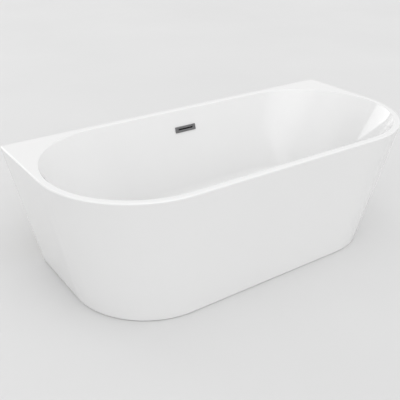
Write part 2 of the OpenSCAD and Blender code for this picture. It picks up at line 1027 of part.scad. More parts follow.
tub_shell();
outer_skirt();
base_board();
frame_rail(-rail_y);  // frame_rail_front
frame_rail(rail_y);  // frame_rail_back
outer_crossbar(-crossbar_x);  // crossbar_left
outer_crossbar(crossbar_x);  // crossbar_right
middle_crossbar();  // crossbar_middle
tube_end_plugs();
rail_screws();
foot_weld_nuts();
foot_lock_nuts();
for (i = [0:len(FEET) - 1]) {
    foot_stud(FEET[i]);
    foot_pad(FEET[i]);
}
for (i = [0, 1]) {
    side = 2 * i - 1;
    skirt_block(side * crossbar_x);
    skirt_bracket(side * crossbar_x);
    corner_block(side);
}
bracket_screws();
rear_brace();
brace_screws();
overflow_cover();
overflow_front_gasket();
overflow_back_gasket();
overflow_body();
overflow_screws();
overflow_hose();
hose_clips();
waste_flange();
waste_top_gasket();
waste_bottom_gasket();
waste_body();
click_cartridge();
plug_cap();
plug_seal();
plug_stem();
trap_cup();
trap_ring_nut();
trap_ring_seal();
trap_outlet_nut();
trap_outlet_seal();
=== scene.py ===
"""Back-to-wall freestanding bath: smooth meshes, materials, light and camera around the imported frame."""
import math

import bmesh
import bpy
from mathutils import Matrix, Vector


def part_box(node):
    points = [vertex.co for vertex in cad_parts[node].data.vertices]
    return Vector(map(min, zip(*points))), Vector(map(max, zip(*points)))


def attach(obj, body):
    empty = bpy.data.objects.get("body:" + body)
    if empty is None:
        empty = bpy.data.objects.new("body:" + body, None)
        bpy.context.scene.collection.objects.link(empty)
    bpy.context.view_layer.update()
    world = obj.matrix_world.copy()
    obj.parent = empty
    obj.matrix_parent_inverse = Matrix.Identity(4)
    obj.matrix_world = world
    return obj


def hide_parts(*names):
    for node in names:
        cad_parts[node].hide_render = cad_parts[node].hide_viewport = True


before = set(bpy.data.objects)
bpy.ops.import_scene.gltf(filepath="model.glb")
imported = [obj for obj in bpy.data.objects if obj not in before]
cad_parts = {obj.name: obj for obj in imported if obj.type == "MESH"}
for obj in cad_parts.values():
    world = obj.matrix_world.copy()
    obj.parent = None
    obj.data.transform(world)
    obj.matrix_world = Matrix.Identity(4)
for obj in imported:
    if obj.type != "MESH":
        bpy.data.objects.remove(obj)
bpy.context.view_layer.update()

# -------- camera
CAMERA_AZIMUTH = -34.76
CAMERA_ELEVATION = 26.853
CAMERA_ROLL = math.radians(0.1175)
CAMERA_DISTANCE = 2.7416
CAMERA_AIM = Vector((-0.1156, 0.0604, 0.2679))
CAMERA_LENS = 56.06


def heading(azimuth, elevation):
    """The direction at an azimuth from -Y towards +X and at an elevation, both in degrees."""
    a, e = math.radians(azimuth), math.radians(elevation)
    return Vector((math.sin(a) * math.cos(e), -math.cos(a) * math.cos(e), math.sin(e)))


def make_camera():
    back = heading(CAMERA_AZIMUTH, CAMERA_ELEVATION)
    right = (-back).cross(Vector((0, 0, 1))).normalized()
    up = right.cross(-back)
    tilted_right = right * math.cos(CAMERA_ROLL) + up * math.sin(CAMERA_ROLL)
    tilted_up = up * math.cos(CAMERA_ROLL) - right * math.sin(CAMERA_ROLL)
    data = bpy.data.cameras.new("camera")
    data.lens = CAMERA_LENS
    data.clip_end = 200
    camera = bpy.data.objects.new("camera", data)
    turn = Matrix((tilted_right, tilted_up, back)).transposed().to_4x4()
    camera.matrix_world = Matrix.Translation(CAMERA_AIM + back * CAMERA_DISTANCE) @ turn
    bpy.context.scene.collection.objects.link(camera)
    bpy.context.scene.camera = camera


make_camera()

# -------- sizes, in metres
MM = 0.001
RIM_LOW, RIM_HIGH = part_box("tub_shell")
SKIRT_LOW, SKIRT_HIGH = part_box("outer_skirt")
HALF_LENGTH = RIM_HIGH.x
BACK_Y = RIM_HIGH.y
RIM_Z = RIM_HIGH.z
RIM_UNDER = SKIRT_HIGH.z
SHELL_T = RIM_Z - RIM_UNDER
CORNER_R = BACK_Y
CORNER_X = HALF_LENGTH - CORNER_R
RIM_WIDTH = 27 * MM
OPENING_R = BACK_Y - RIM_WIDTH
EDGE_R = 6 * MM
LIP_R = 5 * MM
TIP_R = 5 * MM
BASIN_DEPTH = 420 * MM
FLOOR_T = 10 * MM
FLOOR_FALL = 3 * MM
SIDE_SLOPE = math.radians(15)
END_SLOPE = math.radians(32)
SIDE_FILLET = 100 * MM
END_FILLET = 150 * MM
FLOOR_Z = RIM_Z - BASIN_DEPTH
WASTE_Z = FLOOR_Z - FLOOR_FALL
FLOOR_UNDER = FLOOR_Z - FLOOR_T
RECESS_R = 36 * MM
RECESS_Z = WASTE_Z - 3 * MM
WASTE_HOLE_R = 26 * MM
SKIRT_BOTTOM = SKIRT_LOW.z
SKIRT_T = 5 * MM
BASE_HALF = 731 * MM
BASE_DEPTH = 697 * MM
BASE_CORNER_R = 339 * MM
RETURN_W = 45 * MM
COVER_DEPTH = 87 * MM
COVER_PLACE = Vector((0, OPENING_R - COVER_DEPTH * math.tan(SIDE_SLOPE), RIM_Z - COVER_DEPTH))


# -------- materials
def rgb(value, tint=(1, 1, 1)):
    return (value * tint[0], value * tint[1], value * tint[2], 1)


class Shader:
    """A Principled material whose colour, roughness and bump come from procedural nodes."""

    def __init__(self, name, metallic=0.0):
        self.material = bpy.data.materials.new(name)
        self.material.use_nodes = True
        self.nodes = self.material.node_tree.nodes
        self.links = self.material.node_tree.links
        self.surface = self.nodes["Principled BSDF"]
        self.surface.inputs["Metallic"].default_value = metallic
        self.place = self.nodes.new("ShaderNodeTexCoord").outputs["Object"]
        self.normal = None

    def node(self, kind, source, socket="Vector", **values):
        """A new node with its values set and a source linked to one socket."""
        node = self.nodes.new("ShaderNode" + kind)
        for name, value in values.items():
            node.inputs[name].default_value = value
        self.links.new(source, node.inputs[socket])
        return node

    def stretch(self, scale, turn=(0, 0, 0)):
        """Object coordinates scaled along each axis, for grain and brushing."""
        return self.node("Mapping", self.place, Scale=scale, Rotation=turn).outputs["Vector"]

    def noise(self, scale, detail=2.0, rough=0.5, at=None, warp=0.0):
        values = {"Scale": scale, "Detail": detail, "Roughness": rough, "Distortion": warp}
        return self.node("TexNoise", at or self.place, **values).outputs["Fac"]

    def cells(self, scale, feature="F1", at=None, output="Distance"):
        node = self.node("TexVoronoi", at or self.place, Scale=scale)
        node.feature = feature
        return node.outputs[output]

    def bands(self, scale, warp):
        """Wavy bands across Y."""
        node = self.node("TexWave", self.place, Scale=scale, Distortion=warp, Detail=3)
        node.wave_type = "BANDS"
        node.bands_direction = "Y"
        return node.outputs["Fac"]

    def ramp(self, factor, stops):
        """A colour ramp over (position, colour) stops."""
        node = self.nodes.new("ShaderNodeValToRGB")
        elements = node.color_ramp.elements
        while len(elements) < len(stops):
            elements.new(1.0)
        for element, (position, colour) in zip(elements, stops):
            element.position = position
            element.color = colour
        self.links.new(factor, node.inputs["Fac"])
        return node.outputs["Color"]

    def spread(self, factor, low, high, start=0.0, end=1.0):
        values = {"From Min": start, "From Max": end, "To Min": low, "To Max": high}
        return self.node("MapRange", factor, "Value", **values).outputs["Result"]

    def mix(self, factor, first, second, blend="MIX"):
        node = self.nodes.new("ShaderNodeMix")
        node.data_type = "RGBA"
        node.blend_type = blend
        for socket, value in ((node.inputs[0], factor), (node.inputs[6], first), (node.inputs[7], second)):
            if isinstance(value, bpy.types.NodeSocket):
                self.links.new(value, socket)
            else:
                socket.default_value = value
        return node.outputs[2]

    def colour(self, source):
        self.links.new(source, self.surface.inputs["Base Color"])

    def roughness(self, source):
        self.links.new(source, self.surface.inputs["Roughness"])

    def bump(self, source, strength, distance):
        """Adds a bump; a later one builds on the earlier one's normal."""
        node = self.node("Bump", source, "Height", Strength=strength, Distance=distance)
        if self.normal:
            self.links.new(self.normal, node.inputs["Normal"])
        self.normal = node.outputs["Normal"]
        self.links.new(self.normal, self.surface.inputs["Normal"])


ACRYLIC_IOR = 1.49


def gloss_acrylic(name, value):
    """Sanitary acrylic: even white, a faint orange peel and fine wipe marks in the gloss."""
    m = Shader(name)
    tone = m.noise(2.2, detail=3, rough=0.55)
    m.colour(m.ramp(tone, [(0.3, rgb(value * 0.992)), (0.7, rgb(value, (1, 1, 0.998)))]))
    wipe = m.noise(14, detail=4, rough=0.65, at=m.stretch((1, 1, 2.5), (0.4, 0.2, 0)))
    m.roughness(m.spread(wipe, 0.045, 0.085, 0.3, 0.7))
    m.bump(m.noise(9, detail=1), 0.05, 0.002)
    m.bump(m.noise(160, detail=2), 0.02, 0.0003)
    m.surface.inputs["IOR"].default_value = ACRYLIC_IOR
    return m.material


def glass_fibre(name):
    """Sprayed glass-fibre backing: short strands in a milky, uneven resin."""
    m = Shader(name)
    strands = m.cells(95, "DISTANCE_TO_EDGE")
    lumps = m.noise(28, detail=5, rough=0.6)
    base = m.ramp(lumps, [(0.3, rgb(0.50, (1, 0.99, 0.93))), (0.7, rgb(0.66, (1, 0.995, 0.955)))])
    lines = m.ramp(strands, [(0.0, rgb(0.92)), (0.06, rgb(1.0))])
    m.colour(m.mix(1.0, base, lines, "MULTIPLY"))
    m.roughness(m.spread(lumps, 0.38, 0.68))
    m.bump(lumps, 0.5, 0.002)
    m.bump(strands, 0.25, 0.0008)
    return m.material


def galvanised(name):
    """Galvanised steel: grey spangle with an uneven sheen."""
    m = Shader(name, metallic=1.0)
    spangle = m.cells(170, output="Color")
    clouds = m.noise(14, detail=3)
    base = m.ramp(spangle, [(0.2, rgb(0.43, (0.98, 1, 1.02))), (0.8, rgb(0.60, (0.98, 1, 1.02)))])
    stain = m.ramp(clouds, [(0.35, rgb(0.86, (1.02, 1, 0.96))), (0.65, rgb(1.0))])
    m.colour(m.mix(1.0, base, stain, "MULTIPLY"))
    m.roughness(m.spread(spangle, 0.30, 0.52))
    m.bump(m.cells(170, "DISTANCE_TO_EDGE"), 0.15, 0.0003)
    m.bump(m.noise(420, detail=3), 0.12, 0.0002)
    return m.material


def zinc(name, value=0.62):
    """Bright zinc plating: a faint yellow cloud over blue-grey, finely scratched."""
    m = Shader(name, metallic=1.0)
    clouds = m.noise(70, detail=3)
    yellow, blue = rgb(value * 0.84, (1.04, 1, 0.90)), rgb(value, (0.99, 1, 1.01))
    m.colour(m.ramp(clouds, [(0.35, yellow), (0.62, blue)]))
    scratches = m.noise(60, detail=4, at=m.stretch((1, 9, 2), (0.3, 0.2, 0.5)))
    m.roughness(m.spread(scratches, 0.20, 0.42, 0.3, 0.7))
    m.bump(scratches, 0.1, 0.0001)
    return m.material


def graphite(name):
    """Satin graphite plating, brushed along X."""
    m = Shader(name, metallic=1.0)
    lines = m.noise(1.0, detail=4, rough=0.7, at=m.stretch((14, 900, 900)))
    clouds = m.noise(45, detail=2)
    base = m.ramp(lines, [(0.3, rgb(0.185, (1, 1, 1.02))), (0.7, rgb(0.225, (1, 1, 1.02)))])
    m.colour(m.mix(1.0, base, m.ramp(clouds, [(0.3, rgb(0.95)), (0.7, rgb(1.0))]), "MULTIPLY"))
    m.roughness(m.spread(lines, 0.26, 0.38, 0.3, 0.7))
    m.bump(lines, 0.12, 0.00005)
    return m.material


def weld_metal(name):
    """Weld bead: dull steel with brown and blue heat tint."""
    m = Shader(name, metallic=1.0)
    heat = m.noise(180, detail=2)
    brown, blue = rgb(0.30, (1.1, 0.95, 0.8)), rgb(0.3, (0.85, 0.95, 1.2))
    m.colour(m.ramp(heat, [(0.3, brown), (0.55, rgb(0.38)), (0.75, blue)]))
    m.roughness(m.spread(heat, 0.35, 0.6))
    m.bump(m.noise(900, detail=3), 0.3, 0.0002)
    return m.material


def brass(name):
    """Turned brass with fine tool marks and a little tarnish."""
    m = Shader(name, metallic=1.0)
    tarnish = m.noise(120, detail=3)
    m.colour(m.ramp(tarnish, [(0.3, (0.50, 0.34, 0.15, 1)), (0.6, (0.74, 0.55, 0.26, 1))]))
    marks = m.noise(1.0, detail=2, at=m.stretch((8, 8, 2600)))
    m.roughness(m.spread(marks, 0.18, 0.36, 0.3, 0.7))
    m.bump(marks, 0.15, 0.00005)
    return m.material


def rubber(name):
    """Black rubber with a fine grain and pale dust in it."""
    m = Shader(name)
    dust = m.noise(50, detail=4)
    m.colour(m.ramp(dust, [(0.45, rgb(0.020)), (0.75, rgb(0.045, (1, 0.99, 0.96)))]))
    m.roughness(m.spread(dust, 0.55, 0.8))
    m.bump(m.noise(1400, detail=2), 0.25, 0.0001)
    return m.material


def moulded(name, value, tint=(1, 1, 1), low=0.30, high=0.46):
    """Moulded plastic: spark-eroded skin, faint flow clouds and uneven gloss."""
    m = Shader(name)
    flow = m.noise(16, detail=3, warp=0.8)
    m.colour(m.ramp(flow, [(0.3, rgb(value * 0.90, tint)), (0.7, rgb(value, tint))]))
    skin = m.noise(700, detail=3, rough=0.6)
    m.roughness(m.spread(m.noise(35, detail=4), low, high, 0.3, 0.7))
    m.bump(flow, 0.06, 0.001)
    m.bump(skin, 0.14, 0.00012)
    return m.material


def particle_board(name):
    """Pressed wood chips under a thin coat of resin."""
    m = Shader(name)
    chips = m.cells(150, output="Color", at=m.stretch((1, 0.55, 1), (0, 0, 0.5)))
    lumps = m.noise(60, detail=5, rough=0.65)
    base = m.ramp(chips, [
        (0.1, (0.40, 0.26, 0.13, 1)), (0.5, (0.60, 0.44, 0.25, 1)), (0.9, (0.76, 0.61, 0.40, 1))])
    m.colour(m.mix(0.5, base, m.ramp(lumps, [(0.3, (0.38, 0.27, 0.15, 1)), (0.7, (0.72, 0.58, 0.38, 1))])))
    m.roughness(m.spread(lumps, 0.32, 0.6))
    m.bump(chips, 0.25, 0.0003)
    m.bump(lumps, 0.35, 0.0006)
    return m.material


def softwood(name):
    """Sawn softwood, with growth rings drawn out along the grain and torn fibres."""
    m = Shader(name)
    grain = (2.2, 26, 26)
    rings = m.noise(2.6, detail=2, at=m.stretch(grain), warp=0.7)
    fibres = m.noise(9, detail=4, rough=0.7, at=m.stretch(grain))
    base = m.ramp(rings, [
        (0.30, (0.60, 0.42, 0.22, 1)), (0.46, (0.74, 0.56, 0.34, 1)),
        (0.52, (0.52, 0.33, 0.16, 1)), (0.70, (0.77, 0.60, 0.38, 1))])
    m.colour(m.mix(0.35, base, m.ramp(fibres, [(0.3, (0.48, 0.33, 0.18, 1)), (0.7, (0.82, 0.66, 0.44, 1))])))
    m.roughness(m.spread(fibres, 0.55, 0.8))
    m.bump(fibres, 0.4, 0.0005)
    return m.material


def plywood(name):
    """Birch plywood: pale faces along X and dark glue lines across its thickness."""
    m = Shader(name)
    plies = m.bands(96, 0.15)
    figure = m.noise(3.2, detail=4, warp=1.2, at=m.stretch((3, 20, 20)))
    face = m.ramp(figure, [(0.35, (0.66, 0.50, 0.31, 1)), (0.65, (0.80, 0.66, 0.46, 1))])
    m.colour(m.mix(1.0, face, m.ramp(plies, [(0.0, rgb(0.62)), (0.35, rgb(1.0))]), "MULTIPLY"))
    m.roughness(m.spread(figure, 0.5, 0.7))
    m.bump(figure, 0.3, 0.0004)
    return m.material


# -------- mesh tools
def finish_mesh(name, bm, materials, slot, *stands_for, body="root", sharp=35):
    """Turns a bmesh into a named piece that rides on a body and stands for CAD nodes."""
    mesh = bpy.data.meshes.new(name)
    bmesh.ops.recalc_face_normals(bm, faces=bm.faces)
    bm.to_mesh(mesh)
    bm.free()
    for material in materials:
        mesh.materials.append(material)
    mesh.shade_smooth()
    mesh.set_sharp_from_angle(angle=math.radians(sharp))
    piece = bpy.data.objects.new(name, mesh)
    bpy.context.scene.collection.objects.link(piece)
    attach(piece, body)
    if stands_for:
        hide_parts(*stands_for)
    return piece


def add_rings(bm, rings, closed=False, cap=False, material=0):
    """Quads between rings of equally many points. closed joins the last ring to the first."""
    rows = [[bm.verts.new(p) for p in ring] for ring in rings]
    n = len(rows[0])
    count = len(rows) if closed else len(rows) - 1
    for k in range(count):
        low, high = rows[k], rows[(k + 1) % len(rows)]
        for i in range(n):
            j = (i + 1) % n
            bm.faces.new((low[i], low[j], high[j], high[i])).material_index = material
    if cap:
        bm.faces.new(list(reversed(rows[0]))).material_index = material
        bm.faces.new(rows[-1]).material_index = material
    return rows


def solid_object(bm):
    """A bmesh as an object, with its faces turned outwards."""
    bmesh.ops.recalc_face_normals(bm, faces=bm.faces)
    mesh = bpy.data.meshes.new("solid")
    bm.to_mesh(mesh)
    bm.free()
    thing = bpy.data.objects.new("solid", mesh)
    bpy.context.scene.collection.objects.link(thing)
    return thing


def discard(thing):
    mesh = thing.data
    bpy.data.objects.remove(thing)
    bpy.data.meshes.remove(mesh)


def boolean_mesh(thing, tool, operation):
    """The boolean of two objects, as a mesh. The tool is removed."""
    modifier = thing.modifiers.new("boolean", "BOOLEAN")
    modifier.object = tool
    modifier.operation = operation
    modifier.solver = "EXACT"
    bpy.context.view_layer.update()
    evaluated = thing.evaluated_get(bpy.context.evaluated_depsgraph_get())
    mesh = bpy.data.meshes.new_from_object(evaluated)
    thing.modifiers.clear()
    discard(tool)
    return mesh


def cut_with(piece, cutter):
    """Cuts a bmesh out of a finished piece, which keeps its materials."""
    old = piece.data
    piece.data = boolean_mesh(piece, solid_object(cutter), "DIFFERENCE")
    piece.data.name = old.name
    bpy.data.meshes.remove(old)


def combined(base, tool, operation="DIFFERENCE"):
    """The boolean of two bmeshes, as a new one."""
    thing = solid_object(base)
    mesh = boolean_mesh(thing, solid_object(tool), operation)
    result = bmesh.new()
    result.from_mesh(mesh)
    bpy.data.meshes.remove(mesh)
    discard(thing)
    return result


def box_builder(low, high, turn=None):
    bm = bmesh.new()
    bmesh.ops.create_cube(bm, size=1)
    low, high = Vector(low), Vector(high)
    for v in bm.verts:
        v.co = Vector(((low + high) / 2)[i] + v.co[i] * (high - low)[i] for i in range(3))
    if turn:
        bm.transform(turn)
    return bm


def softened(bm, width, segments=2):
    """Rounds every edge between two faces that meet at more than 30 degrees."""
    edges = [e for e in bm.edges if e.is_manifold and e.calc_face_angle() > math.radians(30)]
    bmesh.ops.bevel(bm, geom=edges, offset=width, segments=segments, profile=0.5, affect="EDGES")
    return bm


def gathered(parts):
    """Several bmeshes as one."""
    whole = bmesh.new()
    for part in parts:
        mesh = bpy.data.meshes.new("part")
        part.to_mesh(mesh)
        part.free()
        whole.from_mesh(mesh)
        bpy.data.meshes.remove(mesh)
    return whole


def copies(template, places):
    """A bmesh with a copy of a template at each of a list of matrices."""
    whole = bmesh.new()
    mesh = bpy.data.meshes.new("template")
    template.to_mesh(mesh)
    template.free()
    for place in places:
        known = len(whole.verts)
        whole.from_mesh(mesh)
        whole.verts.ensure_lookup_table()
        bmesh.ops.transform(whole, matrix=place, verts=whole.verts[known:])
    bpy.data.meshes.remove(mesh)
    return whole


def rounded(points, radius, steps=3, closed=True):
    """An outline with rounded corners. A point's third number is its own radius, and 0 keeps it sharp."""
    result = []
    for i, point in enumerate(points):
        here = Vector(point[:2])
        r = point[2] if len(point) > 2 else radius
        if r == 0 or (not closed and i in (0, len(points) - 1)):
            result.append(tuple(here))
            continue
        before = (Vector(points[i - 1][:2]) - here).normalized()
        after = (Vector(points[(i + 1) % len(points)][:2]) - here).normalized()
        half = before.angle(after) / 2
        centre = here + (before + after).normalized() * (r / math.sin(half))
        start = here + before * (r / math.tan(half)) - centre
        end = here + after * (r / math.tan(half)) - centre
        for k in range(steps + 1):
            result.append(tuple(centre + start.lerp(end, k / steps).normalized() * r))
    return result


def rectangle(width, height, radius, steps=3):
    x, y = width / 2, height / 2
    return rounded([(x, -y), (x, y), (-x, y), (-x, -y)], radius, steps)


def quarter_turn(steps):
    """The (sine, cosine) of a quarter turn's angles in equal steps."""
    angles = (math.pi / 2 * i / steps for i in range(steps + 1))
    return [(math.sin(a), math.cos(a)) for a in angles]


def around(steps):
    """The angles of a full turn in equal steps."""
    return [2 * math.pi * i / steps for i in range(steps)]


def turned(profile, steps=48, ripple=None):
    """A profile of (radius, height) points turned round Z. It closes on itself or on the axis."""
    bm = bmesh.new()
    rows = []
    for radius, z in profile:
        if radius < 1e-7:
            rows.append([bm.verts.new((0, 0, z))])
            continue
        row = []
        for a in around(steps):
            r = ripple(radius, z, a) if ripple else radius
            row.append(bm.verts.new((r * math.cos(a), r * math.sin(a), z)))
        rows.append(row)
    following = rows[1:] if len(rows[0]) == 1 else rows[1:] + rows[:1]
    for low, high in zip(rows, following):
        for i in range(steps):
            j = (i + 1) % steps
            corners = (low[i % len(low)], low[j % len(low)], high[j % len(high)], high[i % len(high)])
            bm.faces.new(dict.fromkeys(corners))
    return bm


def moved(bm, matrix):
    bm.transform(matrix)
    return bm


def extruded(outline, low, high, bevel=0.0, turn=None):
    """A prism of an outline along its own Z, with rounded edges, then put in place."""
    bm = bmesh.new()
    add_rings(bm, [[Vector((p[0], p[1], z)) for p in outline] for z in (low, high)], cap=True)
    if bevel:
        softened(bm, bevel)
    return moved(bm, turn) if turn else bm


def rod(r, low, high, steps=32):
    return turned([(0, low), (r, low), (r, high), (0, high)], steps)


# Own X, Y and Z to the model's Y, Z and X, and own Z to the model's Y
ALONG_X = Matrix(((0, 0, 1), (1, 0, 0), (0, 1, 0))).to_4x4()
ALONG_Y = Matrix.Rotation(-math.pi / 2, 4, "X")
ALONG_FRONT = Matrix.Rotation(math.pi / 2, 4, "X")


def at(x, y, z):
    return Matrix.Translation((x, y, z))


def dress(material, *names, edge=0.35 * MM):
    """Gives CAD nodes a material and soft edges."""
    for name in names:
        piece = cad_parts[name]
        piece.data.materials.clear()
        piece.data.materials.append(material)
        weld = piece.modifiers.new("weld", "WELD")
        weld.merge_threshold = 0.01 * MM
        bevel = piece.modifiers.new("edges", "BEVEL")
        bevel.width = edge
        bevel.segments = 2
        bevel.limit_method = "ANGLE"
        bevel.angle_limit = math.radians(35)
        bevel.harden_normals = True


# -------- outlines
CORNER_STEPS = 40
SIDE_STEPS = 18
TIP_STEPS = 6
STRAIGHT_STEPS = 24


def arc(cx, cy, r, start, end, steps):
    """Points along an arc, without the last one."""
    angles = (start + (end - start) * i / steps for i in range(steps))
    return [(cx + r * math.cos(a), cy + r * math.sin(a)) for a in angles]


def line(start, end, steps):
    return [
        (start[0] + (end[0] - start[0]) * i / steps, start[1] + (end[1] - start[1]) * i / steps)
        for i in range(steps)
    ]


def mirrored(right_half, z):
    """A level ring from its right half, which runs from the front to the back."""
    points = right_half + [(-x, y) for x, y in reversed(right_half[1:-1])]
    return [Vector((x, y, z)) for x, y in points]


def d_outline(half, front, back, corner_r, z):
    """Square tips at the wall and round corners at the front, anticlockwise from the front."""
    quarter = math.pi / 2
    turn_x = half - corner_r
    right = line((0, front), (turn_x, front), STRAIGHT_STEPS)
    right += arc(turn_x, front + corner_r, corner_r, -quarter, 0, CORNER_STEPS)
    right += line((half, front + corner_r), (half, back - TIP_R), SIDE_STEPS)
    right += arc(half - TIP_R, back - TIP_R, TIP_R, 0, quarter, TIP_STEPS)
    right += line((half - TIP_R, back), (CORNER_X, back), SIDE_STEPS)
    right += line((CORNER_X, back), (0, back), STRAIGHT_STEPS) + [(0, back)]
    return mirrored(right, z)


def stadium(straight, r, z):
    """Two half circles joined by straight sides, with the D outline's number of points."""
    quarter = math.pi / 2
    right = line((0, -r), (straight, -r), STRAIGHT_STEPS)
    right += arc(straight, 0, r, -quarter, 0, CORNER_STEPS)
    right += arc(straight, 0, r, 0, quarter, 2 * SIDE_STEPS + TIP_STEPS)
    right += line((straight, r), (0, r), STRAIGHT_STEPS) + [(0, r)]
    return mirrored(right, z)


def circle_like(ring, r, z):
    """A circle whose points lie in the same directions as another ring's points."""
    return [Vector((p.x, p.y, 0)).normalized() * r + Vector((0, 0, z)) for p in ring]


# -------- basin
def wall_inset(depth, slope, fillet, total):
    tangent = total - fillet * (1 - math.sin(slope))
    if depth < tangent:
        return depth * math.tan(slope)
    reach = max(0.0, fillet ** 2 - (depth - total + fillet) ** 2)
    return tangent * math.tan(slope) + fillet * math.cos(slope) - math.sqrt(reach)


def lip_inset(depth, slope):
    tangent = LIP_R * (1 - math.sin(slope))
    if depth > tangent:
        return depth * math.tan(slope)
    reach = math.sqrt(LIP_R ** 2 - (LIP_R - depth) ** 2)
    return tangent * math.tan(slope) - LIP_R * math.cos(slope) + reach


def basin_ring(r, side, end, z):
    return stadium(CORNER_X - (end - side), r - side, z)


def inner_ring(depth):
    side = wall_inset(depth, SIDE_SLOPE, SIDE_FILLET, BASIN_DEPTH)
    end = wall_inset(depth, END_SLOPE, END_FILLET, BASIN_DEPTH)
    return basin_ring(OPENING_R, side, end, RIM_Z - depth)


def lip_ring(depth):
    return basin_ring(OPENING_R, lip_inset(depth, SIDE_SLOPE), lip_inset(depth, END_SLOPE), RIM_Z - depth)


def outer_ring(depth):
    total = BASIN_DEPTH + FLOOR_T
    side = wall_inset(depth, SIDE_SLOPE, SIDE_FILLET + SHELL_T, total)
    end = wall_inset(depth, END_SLOPE, END_FILLET + SHELL_T, total)
    return basin_ring(OPENING_R + SHELL_T / math.cos(SIDE_SLOPE), side, end, RIM_Z - depth)


def fillet_depths(total, fillet, steps):
    """Depths down the fillet, from the wall's end to the floor."""
    start = END_SLOPE
    angles = (start + (math.pi / 2 - start) * i / steps for i in range(steps + 1))
    return [total - fillet * (1 - math.sin(a)) for a in angles]


def rim_ring(inset, z):
    """The rim's outline, drawn in by an inset. The wall side is drawn in half as much."""
    return d_outline(HALF_LENGTH - inset, inset - BACK_Y, BACK_Y - inset / 2, CORNER_R - inset, z)


def between(first, second, share):
    return [a.lerp(b, share) for a, b in zip(first, second)]


def make_basin(acrylic, backing):
    edge_steps, lip_steps, fillet_steps, floor_steps = 10, 10, 22, 6
    rings = []
    # Rounded outer edge of the rim
    for sine, cosine in quarter_turn(edge_steps):
        rings.append(rim_ring(EDGE_R * (1 - cosine), RIM_UNDER + SHELL_T * sine))
    # Flat rim, with close rings that keep its shading flat
    rings.append(rim_ring(EDGE_R + 0.6 * MM, RIM_Z))
    lip = lip_ring(0)
    rings.append(between(rings[-1], lip, 0.5))
    wide_lip = basin_ring(
        OPENING_R + 0.6 * MM, lip_inset(0, SIDE_SLOPE), lip_inset(0, END_SLOPE), RIM_Z)
    rings.append(wide_lip)
    # Rounded lip, wall, fillet and floor
    deepest = LIP_R * (1 - math.sin(SIDE_SLOPE))
    for i in range(lip_steps + 1):
        a = (math.pi / 2 - SIDE_SLOPE) * i / lip_steps
        rings.append(lip_ring(min(LIP_R * (1 - math.cos(a)), deepest)))
    start = fillet_depths(BASIN_DEPTH, END_FILLET, fillet_steps)[0]
    for depth in (6 * MM, 20 * MM, 60 * MM, 120 * MM, 200 * MM, 270 * MM, start - 4 * MM):
        rings.append(inner_ring(depth))
    rings += [inner_ring(d) for d in fillet_depths(BASIN_DEPTH, END_FILLET, fillet_steps)]
    floor = rings[-1]
    drain = circle_like(floor, RECESS_R + 1 * MM, WASTE_Z)
    for i in range(1, floor_steps + 1):
        share = i / floor_steps
        ring = between(floor, drain, share)
        fall = FLOOR_FALL * share * share * (3 - 2 * share)
        rings.append([Vector((p.x, p.y, FLOOR_Z - fall)) for p in ring])
    # Recess and hole for the waste
    rings.append(circle_like(floor, RECESS_R + 0.3 * MM, WASTE_Z - 0.3 * MM))
    rings.append(circle_like(floor, RECESS_R, WASTE_Z - 1 * MM))
    rings.append(circle_like(floor, RECESS_R, RECESS_Z))
    rings.append(circle_like(floor, WASTE_HOLE_R, RECESS_Z))
    split = len(rings)
    # Underside and outside of the basin
    rings.append(circle_like(floor, WASTE_HOLE_R, FLOOR_UNDER))
    under = fillet_depths(BASIN_DEPTH + FLOOR_T, END_FILLET + SHELL_T, fillet_steps)
    rings += [outer_ring(d) for d in reversed(under)]
    for depth in (260 * MM, 160 * MM, 60 * MM, SHELL_T):
        rings.append(outer_ring(depth))
    rings.append(rim_ring(EDGE_R, RIM_UNDER))
    bm = bmesh.new()
    rows = add_rings(bm, rings, closed=True)
    backed = {v for row in rows[split:] for v in row}
    for face in bm.faces:
        if all(v in backed for v in face.verts):
            face.material_index = 1
    piece = finish_mesh("basin_and_rim", bm, [acrylic, backing], "basin_acrylic", "tub_shell")
    hole = Vector((DUCT_SIZE[0] / 2 + DUCT_GAP, DUCT_END, DUCT_SIZE[1] / 2 + DUCT_GAP))
    cut_with(piece, box_builder(-hole, hole, ON_BACK_WALL))


# -------- skirt
def skirt_share(z):
    """How far a height lies up the skirt, from 0 at its foot to 1 under the rim."""
    return (z - SKIRT_BOTTOM) / (RIM_UNDER - SKIRT_BOTTOM)


def skirt_half(z):
    return BASE_HALF + (HALF_LENGTH - BASE_HALF) * skirt_share(z)


def skirt_ring(z, inset):
    front = BACK_Y - BASE_DEPTH + (BASE_DEPTH - 2 * BACK_Y) * skirt_share(z)
    corner = BASE_CORNER_R + (CORNER_R - BASE_CORNER_R) * skirt_share(z)
    return d_outline(skirt_half(z) - inset, front + inset, BACK_Y - inset, corner - inset, z)


